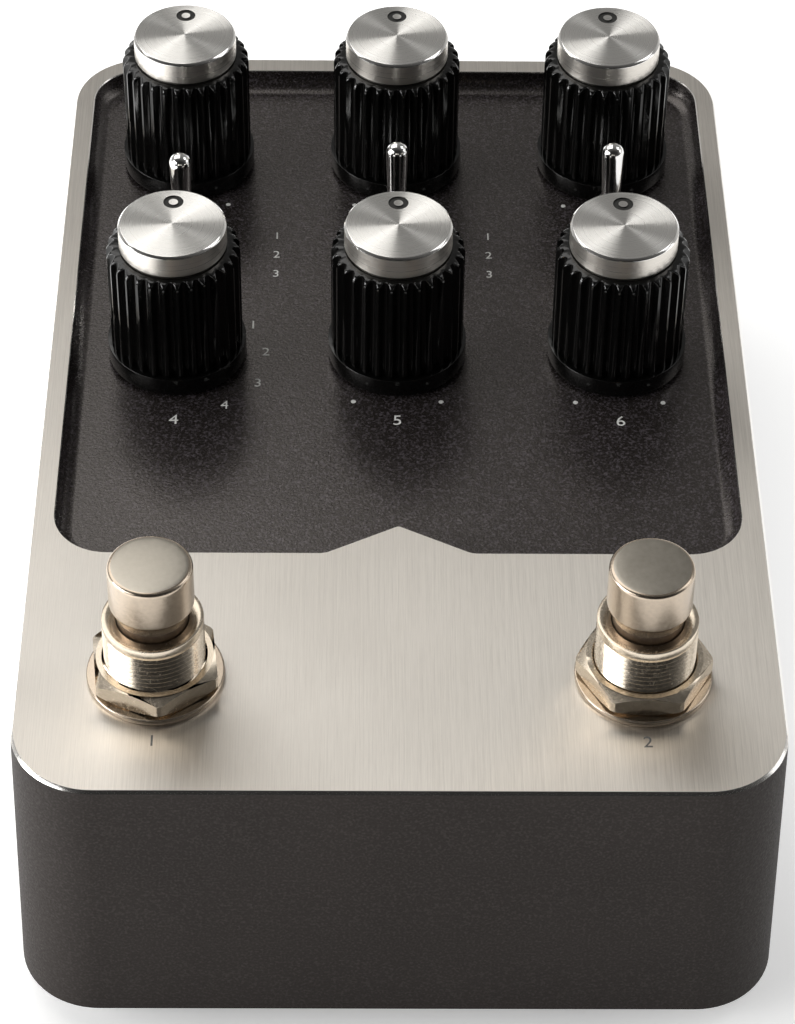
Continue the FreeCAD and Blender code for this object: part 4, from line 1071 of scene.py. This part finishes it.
def studio_world():
    """A dim room, brightest towards the rear and near the horizon."""
    world = bpy.data.worlds.new("studio")
    world.use_nodes = True
    tree = world.node_tree
    background = tree.nodes["Background"]
    background.inputs["Color"].default_value = WARM_WHITE
    place = add(tree, "SeparateXYZ", {"Vector": add(tree, "TexCoord").outputs["Generated"]})
    front = remap(tree, place.outputs["Y"], 0.09, 1.0, -0.6, 0.55)
    height = add(tree, "Math", {0: place.outputs["Z"]}, operation="ABSOLUTE")
    low = remap(tree, height.outputs["Value"], 0.55, 0.24, 0.15, 0.5)
    tree.links.new(total(tree, front, low, "MULTIPLY"), background.inputs["Strength"])
    bpy.context.scene.world = world
    bpy.context.scene.view_settings.view_transform = "Standard"


def key_sheet():
    """A glowing sheet overhead, left of the camera's line; its edges draw the fans on the caps."""
    material, tree, shader = start_material("key_glow", Emission_Color=WARM_WHITE,
                                            Emission_Strength=KEY_STRENGTH, Specular_IOR_Level=0.0)
    colour = ramp(tree, grain(tree, 60.0), [(0.3, (0.0, 0.0, 0.0)), (0.7, (0.01, 0.01, 0.01))])
    tree.links.new(colour, shader.inputs["Base Color"])
    bm = bmesh.new()
    bm.faces.new([bm.verts.new((x, y, KEY_HEIGHT)) for x, y in KEY_CORNERS])
    put("key_sheet", make_mesh("key_sheet", bm, [material]))


def softboxes():
    """Area lights that all face the pedal."""
    for name, (place, size, power) in SOFTBOXES.items():
        data = bpy.data.lights.new(name, "AREA")
        data.shape = "RECTANGLE"
        data.size, data.size_y = size
        data.energy = power
        lamp = put(name, data)
        lamp.location = place
        lamp.rotation_euler = (Vector(LAMP_AIM) - Vector(place)).to_track_quat("-Z", "Y").to_euler()


def camera():
    """At the photograph's angle: pitch down, a slight turn and a slight roll."""
    pitch, yaw, roll = (math.radians(angle) for angle in CAMERA_ANGLES)
    turn = Matrix.Rotation(yaw, 3, "Z")
    right = turn @ Vector((1, 0, 0))
    up = turn @ Vector((0, math.sin(pitch), math.cos(pitch)))
    forward = turn @ Vector((0, math.cos(pitch), -math.sin(pitch)))
    tilted_right = right * math.cos(roll) + up * math.sin(roll)
    tilted_up = up * math.cos(roll) - right * math.sin(roll)
    data = bpy.data.cameras.new("camera")
    data.sensor_width = SENSOR
    data.lens = FOCAL_PIXELS / FRAME_PIXELS * SENSOR
    data.clip_start, data.clip_end = 0.01, 50.0
    made = put("camera", data)
    pose = Matrix((tilted_right, tilted_up, -forward)).transposed().to_4x4()
    pose.translation = Vector(CAMERA_PLACE)
    made.matrix_world = pose
    bpy.context.scene.camera = made


enclosure()
knobs()
toggles()
footswitches()
springs()
status_lights()
jack_parts()
button()
feet()
plate_screws()
prints()
colour_plain_pieces()
floor()
studio_world()
key_sheet()
softboxes()
camera()
